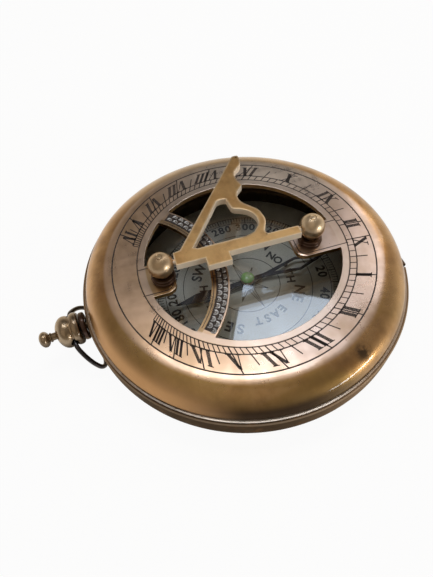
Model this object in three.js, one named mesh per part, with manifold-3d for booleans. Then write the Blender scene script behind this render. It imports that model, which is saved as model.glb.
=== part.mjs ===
// Pocket sundial compass: a brass case, a hinged hour ring lid with a folding gnomon, a push button latch.
// Millimetres, +Z up. The origin is the middle of the flat underside and +Y points to the lid hinge.
import * as THREE from 'three';
import { mergeVertices } from 'three/addons/utils/BufferGeometryUtils.js';
import Module from 'manifold-3d';

const wasm = await Module();
wasm.setup();

// Fits
const seatGap = 0.3;
const runningGap = 0.35;
const overrun = 2;
const weldDistance = 1e-4;

// Case, both halves
const caseRadius = 38;
const caseHeight = 14.6;
const seamHeight = 9.75;
const floorThickness = 1.2;
const wallThickness = 1.4;

// Base: rounded lower edge, rim that the lid closes on, lip that guides the lid
const baseEdgeReach = 5;
const baseEdgeRise = 5.6;
const rimThickness = 1.2;
const rimChamfer = 0.3;
const lipWidth = 1;
const lipRise = 1.2;
const lipChamfer = 0.4;

// Lid: flat hour ring round a window, then a dome down to the seam
const lidThickness = 1.2;
const lidStep = 1;
const shoulderWidth = 8.2;
const windowRadius = 22.5;
const cutoutOffset = 1.3;
const joinOverlap = 0.8;

// Two tongues that carry the gnomon posts
const tongueWidth = 8.8;
const tongueCorner = 2.4;
const hingeTongueEnd = 11.6;
const crownTongueEnd = 16.2;

// Crescent band across the window
const bandOuterRadius = 25.3;
const bandWidth = 4;
const bandReach = -4.4;

// Gnomon posts
const hingePostPlace = 16;
const crownPostPlace = 18.6;
const ballRadius = 2.85;
const ballRise = 4.4;
const ballDimpleRadius = 0.9;
const ballDimpleDepth = 0.2;
const postNeckRadius = 1.6;
const postShankRadius = 1.2;
const rivetRadius = 2;
const rivetThickness = 0.8;
const washerRadius = 2.75;
const washerThickness = 1.1;

// Gnomon
const gnomonThickness = 1.7;
const gnomonReach = 27.8;
const gnomonBackReach = 7.4;
const styleAngle = 52.6;
const styleFoot = 15.3;
const styleWidth = 2;
const gnomonPinRadius = 0.65;
const gnomonPinLength = 1.6;
const barNearWidth = 1.7;
const barFarWidth = 1.3;
const tailFarWidth = 0.5;
const lugReach = 4.05;
const lugStart = 9;
const lugLength = 5.3;

// Lid hinge
const hingeInset = 3;
const hingeLength = 24;
const barrelRadius = 0.95;
const hingePinRadius = 0.4;
const hingeWellDepth = 2;
const middleKnuckleLength = 9;

// Push button and its pendant
const crownTurn = 5.6;
const crownHeight = 7.9;
const pendantCollarRadius = 3.2;
const pendantCollarLength = 1.1;
const pendantBeadRadius = 3.75;
const pendantBeadNeckRadius = 3.25;
const pendantBeadLength = 1.75;
const pendantGrooveWidth = 0.4;
const pendantGrooveRadius = 3.15;
const onionRadius = 3.7;
const onionShoulder = 1;
const onionShoulderRadius = 3.45;
const onionLength = 3.2;
const onionTail = 0.25;
const buttonShaftRadius = 0.85;
const buttonRadius = 1.82;
const buttonHalfThickness = 1.2;
const buttonTravel = 1.3;
const buttonCollarRadius = 1.4;
const buttonCollarThickness = 0.8;

// Bow
const bowWireRadius = 0.6;
const bowHalfWidth = 8.4;
const bowReach = 8.5;
const bowFold = 121;
const bowHoleDepth = 1.2;

// Catch and the two leaf springs
const springInset = 4.7;
const springThickness = 0.6;
const springHeight = 2.4;
const springFootRadius = 1.7;
const springTop = 7;
const catchSpringArc = 62;
const liftSpringArc = 66;
const liftSpringStart = 96;
const noseRise = 2.9;
const noseArc = 5;
const liftFingerDrop = 1.4;
const pillarRadius = 1.2;
const pillarStep = 0.8;
const springScrewHead = 0.8;
const springScrewRadius = 0.6;
const catchWidth = 4.4;
const catchThickness = 0.7;
const catchHeightShare = 0.45;
const catchSlotClearance = 0.7;

// Compass capsule
const capsuleShiftX = 0.6;
const capsuleShiftY = 1.2;
const capsuleInset = 6.7;
const capsuleWall = 0.7;
const glassLedge = 1;
const glassLedgeHeight = 6.7;
const glassThickness = 1;
const retainerThickness = 0.7;
const retainerWidth = 0.8;
const retainerSplit = 3;
const dialThickness = 0.6;
const pivotFootRadius = 1.2;
const pivotNeedleRadius = 0.35;
const pivotHeight = 1.9;
const pivotPoint = 0.5;

// Compass needle
const needleHeading = 95;
const needleReach = 22;
const needleHalfWidth = 2.1;
const needleThickness = 0.4;
const needleRise = 1.2;
const hubRadius = 1.75;
const hubHeight = 1.3;
const jewelRadius = 1.5;
const jewelRise = 0.7;

// Smoothness
const caseSides = 72;
const capsuleSides = 60;
const smallSides = 20;
const fineSides = 24;
const screwSides = 16;
const boreSides = 12;
const arcSteps = 5;
const domeSteps = 7;
const ballSteps = 9;
const scrollSteps = 9;
const tongueSteps = 6;
const bowSteps = 48;
const bowQuarterSides = 4;
const leafStepAngle = 4;

// Heights and radii that follow from the sizes above
const baseRimHeight = seamHeight - seatGap / 2;
const lidEdgeHeight = seamHeight + seatGap / 2;
const lidRadius = caseRadius - lidStep;
const hourRingRadius = caseRadius - shoulderWidth;
const hingePlace = caseRadius - hingeInset;
const springRadius = caseRadius - springInset;
const capsuleRadius = caseRadius - capsuleInset;
const lipOuterRadius = lidRadius - lidThickness - seatGap;
const lipInnerRadius = lipOuterRadius - lipWidth;
const innerWallRadius = caseRadius - wallThickness;
const lidFloorHeight = caseHeight - lidThickness;
const rimUnderside = baseRimHeight - rimThickness;
const gnomonAxisHeight = caseHeight + ballRise;
const shaftBore = buttonShaftRadius + seatGap;
const notchLength = hingeLength + 2 * seatGap;
const floorSeat = floorThickness + seatGap;
const springFootPlace = springRadius + springThickness / 2;

const degrees = (value) => value * Math.PI / 180;

const brass = new THREE.MeshStandardMaterial({ color: 0xa87a45, roughness: 0.35, metalness: 1 });
const paleBrass = new THREE.MeshStandardMaterial({ color: 0xc39a5e, roughness: 0.3, metalness: 1 });
const darkBrass = new THREE.MeshStandardMaterial({ color: 0x5c4328, roughness: 0.4, metalness: 1 });
const steel = new THREE.MeshStandardMaterial({ color: 0x6a6a68, roughness: 0.3, metalness: 1 });
const silver = new THREE.MeshStandardMaterial({ color: 0xb9bab2, roughness: 0.4, metalness: 0.6 });
const blackSteel = new THREE.MeshStandardMaterial({ color: 0x16181c, roughness: 0.35, metalness: 0.5 });
const greenGlass = new THREE.MeshStandardMaterial({ color: 0x4fae3f, roughness: 0.2, metalness: 0 });
const clearGlass = new THREE.MeshStandardMaterial({
  color: 0xf2f6f8, roughness: 0.05, metalness: 0, transparent: true, opacity: 0.25,
});

// Solid of revolution about Z. The profile is [radius, height] points, counter-clockwise.
function turned(profile, sides = smallSides) {
  const points = profile.map(([radius, height]) => new THREE.Vector2(radius, height));
  return new THREE.LatheGeometry(points, sides).rotateX(Math.PI / 2);
}

// Closes a profile that doesn't touch the axis
function closed(profile) {
  return [...profile, profile[0]];
}

// Points along part of an ellipse, angles in degrees from the outward direction
function ellipseArc([centreX, centreY], reach, rise, from, to, steps = arcSteps) {
  const points = [];
  for (let i = 0; i <= steps; i += 1) {
    const angle = degrees(from + (to - from) * i / steps);
    points.push([centreX + reach * Math.cos(angle), centreY + rise * Math.sin(angle)]);
  }
  return points;
}

function cylinder(radius, bottom, top, sides = smallSides) {
  return turned([[0, bottom], [radius, bottom], [radius, top], [0, top]], sides);
}

function tube(inner, outer, bottom, top, sides = smallSides) {
  return turned(closed([[inner, bottom], [outer, bottom], [outer, top], [inner, top]]), sides);
}

// Box from its two opposite corners
function block([x0, y0, z0], [x1, y1, z1]) {
  const box = new THREE.BoxGeometry(x1 - x0, y1 - y0, z1 - z0);
  return box.translate((x0 + x1) / 2, (y0 + y1) / 2, (z0 + z1) / 2);
}

function extruded(shape, bottom, top, curveSegments = 10) {
  const options = { depth: top - bottom, bevelEnabled: false, curveSegments };
  return new THREE.ExtrudeGeometry(shape, options).translate(0, 0, bottom);
}

// Closed geometry to a solid that can be joined and cut
function solid(geometry) {
  const bare = new THREE.BufferGeometry();
  bare.setAttribute('position', geometry.getAttribute('position'));
  bare.setIndex(geometry.getIndex());
  const merged = mergeVertices(bare, weldDistance);
  const corners = merged.getIndex().array;
  const triVerts = [];
  for (let i = 0; i < corners.length; i += 3) {
    const [a, b, c] = corners.slice(i, i + 3);
    if (a !== b && b !== c && c !== a) triVerts.push(a, b, c);
  }
  const vertProperties = Float32Array.from(merged.getAttribute('position').array);
  return new wasm.Manifold(new wasm.Mesh({ numProp: 3, vertProperties, triVerts: Uint32Array.from(triVerts) }));
}

function geometryOf(manifold) {
  const { vertProperties, triVerts } = manifold.getMesh();
  const geometry = new THREE.BufferGeometry();
  geometry.setAttribute('position', new THREE.Float32BufferAttribute(vertProperties, 3));
  geometry.setIndex(Array.from(triVerts));
  geometry.computeVertexNormals();
  return geometry;
}

function joined(first, ...others) {
  return geometryOf(others.reduce((sum, other) => sum.add(solid(other)), solid(first)));
}

function cut(body, ...tools) {
  return geometryOf(tools.reduce((rest, tool) => rest.subtract(solid(tool)), solid(body)));
}

function piece(parent, name, geometry, material) {
  const mesh = new THREE.Mesh(geometry, material);
  mesh.name = name;
  parent.add(mesh);
  return mesh;
}

function groupAt(parent, x = 0, y = 0, z = 0, turnZ = 0) {
  const group = new THREE.Group();
  group.position.set(x, y, z);
  group.rotation.z = degrees(turnZ);
  parent.add(group);
  return group;
}

// Cutter for the gap in the case wall where the hinge barrel lies
function hingeNotch(bottom, top) {
  const inside = hingePlace - barrelRadius - runningGap;
  return block([-notchLength / 2, inside, bottom], [notchLength / 2, caseRadius + overrun, top]);
}

// Moves a shape made on the +Y side, with its axis along Z, onto the push button's axis
function alongCrown(geometry) {
  return geometry.rotateX(Math.PI / 2).translate(0, 0, crownHeight).rotateZ(degrees(crownTurn));
}

// Base
function baseShell() {
  const edgeRadius = caseRadius - baseEdgeReach;
  const outside = ellipseArc([edgeRadius, baseEdgeRise], baseEdgeReach, baseEdgeRise, -90, 0);
  const insideReach = baseEdgeReach - wallThickness;
  const insideRise = baseEdgeRise - floorThickness;
  const inside = ellipseArc([edgeRadius, baseEdgeRise], insideReach, insideRise, 0, -90);
  const body = turned([
    [0, 0], ...outside,
    [caseRadius, baseRimHeight - rimChamfer], [caseRadius - rimChamfer, baseRimHeight],
    [lipOuterRadius, baseRimHeight], [lipOuterRadius, baseRimHeight + lipRise - lipChamfer],
    [lipOuterRadius - lipChamfer, baseRimHeight + lipRise], [lipInnerRadius, baseRimHeight + lipRise],
    [lipInnerRadius, rimUnderside],
    [innerWallRadius, rimUnderside], ...inside,
    [0, floorThickness],
  ], caseSides);
  const hingeWell = hingeNotch(seamHeight - hingeWellDepth, caseHeight);
  const slotWidth = catchWidth / 2 + catchSlotClearance;
  const slotInside = springRadius;
  const slotOutside = innerWallRadius - seatGap;
  const catchSlot = block([-slotWidth, -slotOutside, rimUnderside - seatGap], [slotWidth, -slotInside, caseHeight]);
  const shaftHole = alongCrown(cylinder(shaftBore, springRadius, caseRadius + overrun));
  return cut(body, hingeWell, catchSlot.rotateZ(degrees(crownTurn)), shaftHole);
}

// Lid
function tongueShape(innerEnd) {
  const half = tongueWidth / 2;
  const outerEnd = windowRadius + joinOverlap;
  const shape = new THREE.Shape();
  shape.moveTo(half, outerEnd);
  shape.lineTo(-half, outerEnd);
  shape.lineTo(-half, innerEnd + tongueCorner);
  shape.absarc(-half + tongueCorner, innerEnd + tongueCorner, tongueCorner, Math.PI, 1.5 * Math.PI, false);
  shape.absarc(half - tongueCorner, innerEnd + tongueCorner, tongueCorner, 1.5 * Math.PI, 2 * Math.PI, false);
  return shape;
}

function lidShell() {
  const domeReach = lidRadius - hourRingRadius;
  const domeRise = caseHeight - lidEdgeHeight;
  const centre = [hourRingRadius, lidEdgeHeight];
  const outside = ellipseArc(centre, domeReach, domeRise, 0, 90, domeSteps);
  const inside = ellipseArc(centre, domeReach - lidThickness, domeRise - lidThickness, 90, 0);
  const ring = turned(closed([...outside, [windowRadius, caseHeight], [windowRadius, lidFloorHeight], ...inside]),
    caseSides);
  const bandInnerRadius = bandOuterRadius - bandWidth;
  const band = tube(bandInnerRadius, bandOuterRadius, lidFloorHeight, caseHeight, caseSides)
    .translate(cutoutOffset, bandReach - bandOuterRadius, 0);
  const windowDisc = cylinder(windowRadius + joinOverlap, lidFloorHeight, caseHeight, caseSides);
  const crescent = solid(band).intersect(solid(windowDisc));
  const hingeTongue = extruded(tongueShape(hingeTongueEnd), lidFloorHeight, caseHeight, tongueSteps)
    .translate(cutoutOffset, 0, 0);
  const crownTongue = extruded(tongueShape(crownTongueEnd), lidFloorHeight, caseHeight, tongueSteps)
    .rotateZ(Math.PI).translate(cutoutOffset, 0, 0);
  let body = solid(ring).add(crescent).add(solid(hingeTongue)).add(solid(crownTongue));
  for (const place of [hingePostPlace, -crownPostPlace]) {
    const hole = cylinder(postShankRadius + seatGap, lidFloorHeight - overrun, caseHeight + overrun);
    body = body.subtract(solid(hole.translate(cutoutOffset, place, 0)));
  }
  return geometryOf(body.subtract(solid(hingeNotch(0, seamHeight + barrelRadius + runningGap))));
}

// Ball post riveted through a tongue. The bore for the gnomon pin faces along +Y times side.
function ballPost(side) {
  const shoulder = washerThickness + 2 * seatGap;
  const rivetTop = -lidThickness - seatGap;
  const neckAngle = -90 + THREE.MathUtils.radToDeg(Math.asin(postNeckRadius / ballRadius));
  const dimpleAngle = THREE.MathUtils.radToDeg(Math.acos(ballDimpleRadius / ballRadius));
  const ball = ellipseArc([0, ballRise], ballRadius, ballRadius, neckAngle, dimpleAngle, ballSteps);
  const dimpleRim = ball[ball.length - 1][1];
  const body = turned([
    [0, rivetTop - rivetThickness], [rivetRadius, rivetTop - rivetThickness], [rivetRadius, rivetTop],
    [postShankRadius, rivetTop], [postShankRadius, shoulder], [postNeckRadius, shoulder],
    ...ball, [ballDimpleRadius / 2, dimpleRim - ballDimpleDepth / 2], [0, dimpleRim - ballDimpleDepth],
  ]);
  const boreEnd = ballRadius + seatGap - gnomonPinLength - seatGap;
  const bore = cylinder(gnomonPinRadius + seatGap, boreEnd, ballRadius + overrun, boreSides)
    .rotateX(-side * Math.PI / 2).translate(0, 0, ballRise);
  return cut(body, bore);
}

// Gnomon outline, as shares of its reach away from the hinge line and of its reach along it
const scrollBackShares = [
  [0.06, 0.74], [0.15, 0.89], [0.22, 0.89], [0.29, 0.82], [0.35, 0.64], [0.42, 0.43], [0.49, 0.39], [0.55, 0.46],
];
const cuspShare = [0.61, 0.68];
const notchShare = [0.74, 0.57];
const flareShare = [0.87, 0.93];
const tipShare = [0.985, 0.98];
const tipLeanShare = 0.25;
const holeFootShare = 1.2;
const holeLeanShare = 0.02;
const scrollHoleShares = [
  [0.49, 0.01], [0.4, 0.05], [0.365, 0.13], [0.34, 0.32], [0.3, 0.52], [0.245, 0.65],
  [0.18, 0.68], [0.13, 0.62], [0.07, 0.42],
];

function gnomonPoint([awayShare, alongShare]) {
  return new THREE.Vector2(-awayShare * gnomonReach, alongShare * gnomonBackReach);
}

// Point on the style's outer edge, or on a line parallel to it, at a distance from the hinge line
function stylePoint(away, inset = 0) {
  const angle = degrees(styleAngle);
  return new THREE.Vector2(-away, -styleFoot + away / Math.tan(angle) + inset / Math.sin(angle));
}

function gnomonOutline(barStart, barEnd) {
  const shape = new THREE.Shape();
  const shoulder = stylePoint(barNearWidth + seatGap);
  shape.moveTo(barNearWidth, barStart);
  shape.lineTo(barNearWidth, -lugStart);
  shape.lineTo(lugReach, -lugStart);
  shape.lineTo(lugReach, -lugStart + lugLength);
  shape.lineTo(barNearWidth, -lugStart + lugLength);
  shape.lineTo(barNearWidth, barEnd);
  shape.lineTo(-tailFarWidth, barEnd);
  shape.lineTo(-tailFarWidth, scrollBackShares[0][1] * gnomonBackReach + seatGap);
  shape.splineThru(scrollBackShares.map(gnomonPoint));
  shape.lineTo(...gnomonPoint(cuspShare));
  shape.lineTo(...gnomonPoint(notchShare));
  shape.lineTo(...gnomonPoint(flareShare));
  shape.lineTo(...gnomonPoint(tipShare));
  const tip = gnomonPoint([1, (tipShare[1] + flareShare[1]) / 2]);
  const tipFar = stylePoint(gnomonReach - styleWidth * tipLeanShare);
  shape.quadraticCurveTo(tip.x, tip.y, tipFar.x, tipFar.y);
  shape.lineTo(shoulder.x, shoulder.y);
  shape.lineTo(-barNearWidth, barStart);
  shape.closePath();
  return shape;
}

function gnomonHole() {
  const hole = new THREE.Path();
  const foot = stylePoint(barFarWidth + styleWidth * tipLeanShare, styleWidth * holeFootShare);
  const apex = stylePoint(scrollHoleShares[0][0] * gnomonReach, styleWidth);
  hole.moveTo(foot.x, foot.y);
  hole.lineTo(apex.x, apex.y);
  const top = gnomonPoint([scrollHoleShares[0][0] + holeLeanShare, 0]);
  const start = gnomonPoint(scrollHoleShares[0]);
  hole.quadraticCurveTo(top.x, (apex.y + start.y) / 2, start.x, start.y);
  hole.splineThru(scrollHoleShares.slice(1).map(gnomonPoint));
  const corner = gnomonPoint(scrollHoleShares[scrollHoleShares.length - 1]);
  hole.quadraticCurveTo(-barFarWidth, corner.y / 2, -barFarWidth, 0);
  hole.lineTo(-barFarWidth, foot.y + styleWidth / 2);
  hole.closePath();
  return hole;
}

function gnomonBody() {
  const barStart = -crownPostPlace + ballRadius + seatGap;
  const barEnd = hingePostPlace - ballRadius - seatGap;
  const shape = gnomonOutline(barStart, barEnd);
  shape.holes.push(gnomonHole());
  const plate = extruded(shape, -gnomonThickness / 2, gnomonThickness / 2, scrollSteps);
  const pin = (from, to) => cylinder(gnomonPinRadius, from, to, boreSides).rotateX(-Math.PI / 2);
  const crownPin = pin(barStart - gnomonPinLength, barStart + styleWidth);
  const hingePin = pin(barEnd - styleWidth, barEnd + gnomonPinLength);
  return joined(plate, crownPin, hingePin);
}

// Hinge knuckle: a length of tube on the hinge line
function knuckle(from, to) {
  const barrel = tube(hingePinRadius + seatGap, barrelRadius, from, to, fineSides);
  return barrel.rotateY(Math.PI / 2).translate(0, hingePlace, seamHeight);
}

// Pendant and push button, drawn along +Z from the case centre and then laid on the crown's axis
const pendantStart = caseRadius + seatGap + pendantCollarLength + seatGap;
const grooveStart = pendantStart + pendantBeadLength;
const bowPivot = grooveStart + pendantGrooveWidth / 2;
const onionStart = grooveStart + pendantGrooveWidth;
const pendantEnd = onionStart + onionLength;

// The bead's curve stops at this share, where the groove starts
const beadEndShare = 0.85;

function pendantBody() {
  const beadBulge = pendantBeadRadius - pendantBeadNeckRadius;
  const bead = [];
  for (let i = 0; i <= arcSteps; i += 1) {
    const share = i / arcSteps;
    const radius = pendantBeadNeckRadius + beadBulge * Math.sqrt(Math.sin(Math.PI * Math.min(share, beadEndShare)));
    bead.push([radius, pendantStart + pendantBeadLength * share]);
  }
  const widest = onionStart + onionShoulder;
  const domeLength = pendantEnd - widest + onionTail;
  const dome = [];
  for (let i = 0; i <= arcSteps; i += 1) {
    const share = Math.sin(i / arcSteps * Math.PI / 2) * (pendantEnd - widest) / domeLength;
    dome.push([onionRadius * Math.sqrt(1 - share * share), widest + share * domeLength]);
  }
  const body = turned(closed([
    [shaftBore, pendantStart], ...bead,
    [pendantGrooveRadius, grooveStart], [pendantGrooveRadius, onionStart], [onionShoulderRadius, onionStart],
    ...dome, [shaftBore, pendantEnd],
  ]), fineSides);
  const holeStart = onionRadius - bowHoleDepth - seatGap;
  const hole = (side) => cylinder(bowWireRadius + seatGap, holeStart, onionRadius + overrun, boreSides)
    .rotateY(side * Math.PI / 2).translate(0, 0, bowPivot);
  return cut(body, hole(1), hole(-1));
}

function pushButton() {
  const innerEnd = springRadius + springThickness / 2 + seatGap;
  const collarEnd = innerWallRadius - 2 * seatGap;
  const collarStart = collarEnd - buttonCollarThickness;
  const buttonCentre = pendantEnd + buttonTravel + runningGap + buttonHalfThickness;
  const footAngle = -THREE.MathUtils.radToDeg(Math.acos(buttonShaftRadius / buttonRadius));
  const head = ellipseArc([0, buttonCentre], buttonRadius, buttonHalfThickness, footAngle, 90, domeSteps);
  return turned([
    [0, innerEnd], [buttonShaftRadius, innerEnd], [buttonShaftRadius, collarStart],
    [buttonCollarRadius, collarStart], [buttonCollarRadius, collarEnd], [buttonShaftRadius, collarEnd],
    ...head,
  ]);
}

// Bow: one bent wire, as shares of its half width and of its reach
const bowShares = [
  [0.31, 0], [0.42, 0], [0.52, 0.02], [0.63, 0.09], [0.79, 0.26], [0.91, 0.44], [0.98, 0.61],
  [1, 0.77], [0.92, 0.91], [0.74, 0.985], [0.4, 1],
];

function bowWire() {
  const half = bowShares.map(([across, along]) => [across * bowHalfWidth, along * bowReach]);
  const mirrored = half.slice().reverse().map(([across, along]) => [-across, along]);
  const points = [...half, [0, bowReach], ...mirrored];
  const path = new THREE.CatmullRomCurve3(points.map(([across, along]) => new THREE.Vector3(across, -along, 0)));
  const section = new THREE.Shape();
  section.absarc(0, 0, bowWireRadius, 0, 2 * Math.PI, false);
  return new THREE.ExtrudeGeometry(section, { steps: bowSteps, extrudePath: path, curveSegments: bowQuarterSides });
}

// Leaf spring curved round the inside of the case, from a fixed foot to a free end with a raised tip
function leafSpring(from, arc, tipRise, tipAtStart) {
  const inner = springRadius - springThickness / 2;
  const outer = springRadius + springThickness / 2;
  const strip = (start, sweep, bottom, top) => {
    const shape = new THREE.Shape();
    shape.absarc(0, 0, outer, degrees(start), degrees(start + sweep), false);
    shape.absarc(0, 0, inner, degrees(start + sweep), degrees(start), true);
    return extruded(shape, bottom, top, Math.ceil(sweep / leafStepAngle));
  };
  const bottom = springTop - springHeight;
  const footAngle = tipAtStart ? from + arc : from;
  const tipStart = tipAtStart ? from : from + arc - noseArc;
  const foot = cylinder(springFootRadius, bottom, springTop)
    .translate(springFootPlace, 0, 0).rotateZ(degrees(footAngle));
  const leaf = solid(strip(from, arc, bottom, springTop))
    .add(solid(strip(tipStart, noseArc, springTop - springThickness, springTop + tipRise))).add(solid(foot));
  const hole = cylinder(springScrewRadius + seatGap, bottom - overrun, springTop + overrun, screwSides)
    .translate(springFootPlace, 0, 0).rotateZ(degrees(footAngle));
  return geometryOf(leaf.subtract(solid(hole)));
}

// Pillar under a spring's foot. It stands where the floor turns up into the wall.
function springPillar() {
  return cylinder(pillarRadius, floorThickness + pillarStep, springTop - springHeight - seatGap);
}

function springScrew() {
  const headBottom = springTop + seatGap;
  const shankBottom = springTop - springHeight;
  return turned([
    [0, shankBottom], [springScrewRadius, shankBottom], [springScrewRadius, headBottom],
    [pillarRadius, headBottom], [pillarRadius, headBottom + springScrewHead], [0, headBottom + springScrewHead],
  ], screwSides);
}

// Catch that hangs inside the front of the lid
function lidCatch() {
  const inside = springRadius + springThickness / 2 + seatGap;
  const bottom = crownHeight + buttonCollarRadius + seatGap;
  const outside = inside + catchThickness;
  const top = bottom + (lidFloorHeight - bottom) * catchHeightShare;
  return block([-catchWidth / 2, -outside, bottom], [catchWidth / 2, -inside, top]);
}

// Compass capsule
const glassBottom = glassLedgeHeight + seatGap;
const glassTop = glassBottom + glassThickness;
const retainerBottom = glassTop + seatGap;
const capsuleTop = retainerBottom + retainerThickness;
const capsuleBore = capsuleRadius - capsuleWall;
const ledgeBore = capsuleBore - glassLedge;
const dialBottom = floorSeat;
const dialTop = dialBottom + dialThickness;

function capsuleRing() {
  return turned(closed([
    [ledgeBore, floorSeat], [capsuleRadius, floorSeat], [capsuleRadius, capsuleTop], [capsuleBore, capsuleTop],
    [capsuleBore, glassLedgeHeight], [ledgeBore, glassLedgeHeight],
  ]), capsuleSides);
}

function glassRetainer() {
  const outer = capsuleBore - seatGap;
  const ring = tube(outer - retainerWidth, outer, retainerBottom, capsuleTop, capsuleSides);
  const split = block([-retainerSplit / 2, 0, 0], [retainerSplit / 2, capsuleRadius, caseHeight]);
  return cut(ring, split);
}

function pivotPost() {
  const neck = dialTop + seatGap;
  const tip = dialTop + pivotHeight;
  return turned([
    [0, floorSeat], [pivotFootRadius, floorSeat], [pivotFootRadius, neck], [pivotNeedleRadius, neck + seatGap],
    [pivotNeedleRadius, tip - pivotPoint], [0, tip],
  ], screwSides);
}

// Needle outline: its open arrow end and its plain end, as shares of its reach and half width
const arrowShares = [[0.07, 0.3], [0.21, 0.25], [0.63, 1], [1, 0]];
const plainShares = [[0.07, 0.3], [0.2, 0.3], [0.6, 0.6], [0.86, 0]];
const arrowHoleShares = [[0.31, 0], [0.63, 0.7], [0.87, 0]];

function needlePoint(sideways, lengthways, [along, across]) {
  return new THREE.Vector2(sideways * across * needleHalfWidth, lengthways * along * needleReach);
}

// Both sides of one end, from the right of the hub round to its left
function needleEnd(shares, lengthways) {
  const right = shares.map((share) => needlePoint(lengthways, lengthways, share));
  const left = shares.slice(0, -1).reverse().map((share) => needlePoint(-lengthways, lengthways, share));
  return [...right, ...left];
}

function needleBlade() {
  const shape = new THREE.Shape([...needleEnd(arrowShares, 1), ...needleEnd(plainShares, -1)]);
  const [start, wide, end] = arrowHoleShares;
  const opening = [needlePoint(1, 1, start), needlePoint(1, 1, wide), needlePoint(1, 1, end), needlePoint(-1, 1, wide)];
  shape.holes.push(new THREE.Path([...opening, opening[0]]));
  const boss = cylinder(hubRadius, 0, needleThickness, fineSides);
  const hole = cylinder(hubRadius - needleThickness, -overrun, overrun, fineSides);
  return cut(joined(extruded(shape, 0, needleThickness), boss), hole);
}

function needleHub() {
  const bearing = hubHeight - jewelRise / 2;
  const barrel = hubRadius - needleThickness - seatGap;
  return turned([
    [0, bearing], [pivotNeedleRadius + seatGap, 0], [barrel, 0], [barrel, needleThickness + seatGap],
    [hubRadius, needleThickness + seatGap], [hubRadius, hubHeight], [0, hubHeight],
  ], fineSides);
}

function needleJewel() {
  const bottom = hubHeight + seatGap;
  return turned([[0, bottom], ...ellipseArc([0, bottom], jewelRadius, jewelRise, 0, 90)]);
}

// Assembly
const compass = new THREE.Group();
compass.name = 'pocket_compass';

piece(compass, 'base_shell', baseShell(), brass);
piece(compass, 'lid_shell', lidShell(), brass);

const halfHinge = hingeLength / 2;
const halfMiddle = middleKnuckleLength / 2;
piece(compass, 'hinge_knuckle_left', knuckle(-halfHinge, -halfMiddle - seatGap), darkBrass);
piece(compass, 'hinge_knuckle_right', knuckle(halfMiddle + seatGap, halfHinge), darkBrass);
piece(compass, 'hinge_knuckle_lid', knuckle(-halfMiddle, halfMiddle), darkBrass);
const hingePin = piece(compass, 'hinge_pin', cylinder(hingePinRadius, -halfHinge, halfHinge, screwSides), steel);
hingePin.position.set(0, hingePlace, seamHeight);
hingePin.rotation.y = Math.PI / 2;

const gnomonLine = groupAt(compass, cutoutOffset, 0, caseHeight);
for (const [end, place, side] of [['hinge', hingePostPlace, -1], ['crown', -crownPostPlace, 1]]) {
  const seat = groupAt(gnomonLine, 0, place);
  piece(seat, `gnomon_post_${end}`, ballPost(side), paleBrass);
  const washer = tube(postShankRadius + seatGap, washerRadius, seatGap, seatGap + washerThickness);
  piece(seat, `post_washer_${end}`, washer, darkBrass);
}
const gnomon = piece(gnomonLine, 'gnomon', gnomonBody(), paleBrass);
gnomon.position.z = ballRise;

const crown = groupAt(compass, 0, 0, 0, crownTurn);
const crownAxis = groupAt(crown, 0, 0, crownHeight);
crownAxis.rotation.x = Math.PI / 2;
const collarStart = caseRadius + seatGap;
const collar = tube(shaftBore, pendantCollarRadius, collarStart, collarStart + pendantCollarLength, fineSides);
piece(crownAxis, 'pendant_collar', collar, darkBrass);
piece(crownAxis, 'pendant', pendantBody(), brass);
piece(crownAxis, 'push_button', pushButton(), paleBrass);
const bow = piece(crown, 'bow', bowWire(), blackSteel);
bow.position.set(0, -bowPivot, crownHeight);
bow.rotation.x = degrees(bowFold);
piece(crown, 'lid_catch', lidCatch(), steel);

const springs = [
  ['catch', -90 + crownTurn - noseArc / 2, catchSpringArc, noseRise, true],
  ['lift', liftSpringStart, liftSpringArc, lidFloorHeight - liftFingerDrop - springTop, true],
];
for (const [name, from, arc, tipRise, tipAtStart] of springs) {
  piece(compass, `${name}_spring`, leafSpring(from, arc, tipRise, tipAtStart), steel);
  const foot = groupAt(groupAt(compass, 0, 0, 0, from + arc), springFootPlace);
  piece(foot, `${name}_spring_pillar`, springPillar(), brass);
  piece(foot, `${name}_spring_screw`, springScrew(), steel);
}

const capsule = groupAt(compass, capsuleShiftX, capsuleShiftY);
piece(capsule, 'capsule_ring', capsuleRing(), brass);
piece(capsule, 'dial_plate', tube(pivotFootRadius + seatGap, ledgeBore - seatGap, dialBottom, dialTop, capsuleSides),
  silver);
piece(capsule, 'pivot_post', pivotPost(), paleBrass);
piece(capsule, 'cover_glass', cylinder(capsuleBore - seatGap, glassBottom, glassTop, capsuleSides), clearGlass);
piece(capsule, 'glass_retainer', glassRetainer(), brass);
const needle = groupAt(capsule, 0, 0, dialTop + needleRise, needleHeading - 90);
piece(needle, 'needle', needleBlade(), blackSteel);
piece(needle, 'needle_hub', needleHub(), paleBrass);
piece(needle, 'needle_jewel', needleJewel(), greenGlass);

export default compass;
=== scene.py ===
"""Looks of a pocket sundial compass: aged brass case, engraved hour ring, gnomon, card, needle and glass."""
import math

import bmesh
import bpy
from bpy.props import FloatProperty, FloatVectorProperty, PointerProperty
from mathutils import Matrix, Vector


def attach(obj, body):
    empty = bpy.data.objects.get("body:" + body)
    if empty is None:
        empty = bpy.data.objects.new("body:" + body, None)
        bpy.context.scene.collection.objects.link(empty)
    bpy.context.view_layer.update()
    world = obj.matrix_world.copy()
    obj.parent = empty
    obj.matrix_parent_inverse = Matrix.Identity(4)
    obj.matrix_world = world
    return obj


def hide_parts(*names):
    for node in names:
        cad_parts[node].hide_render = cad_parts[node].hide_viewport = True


bl_info = {
    "name": "Sundial Compass",
    "version": (1, 0, 0),
    "blender": (4, 5, 0),
    "location": "View3D > Sidebar > Compass",
    "description": "Builds the visible pieces and finishes of a pocket sundial compass on its frame",
    "category": "Object",
}

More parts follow.
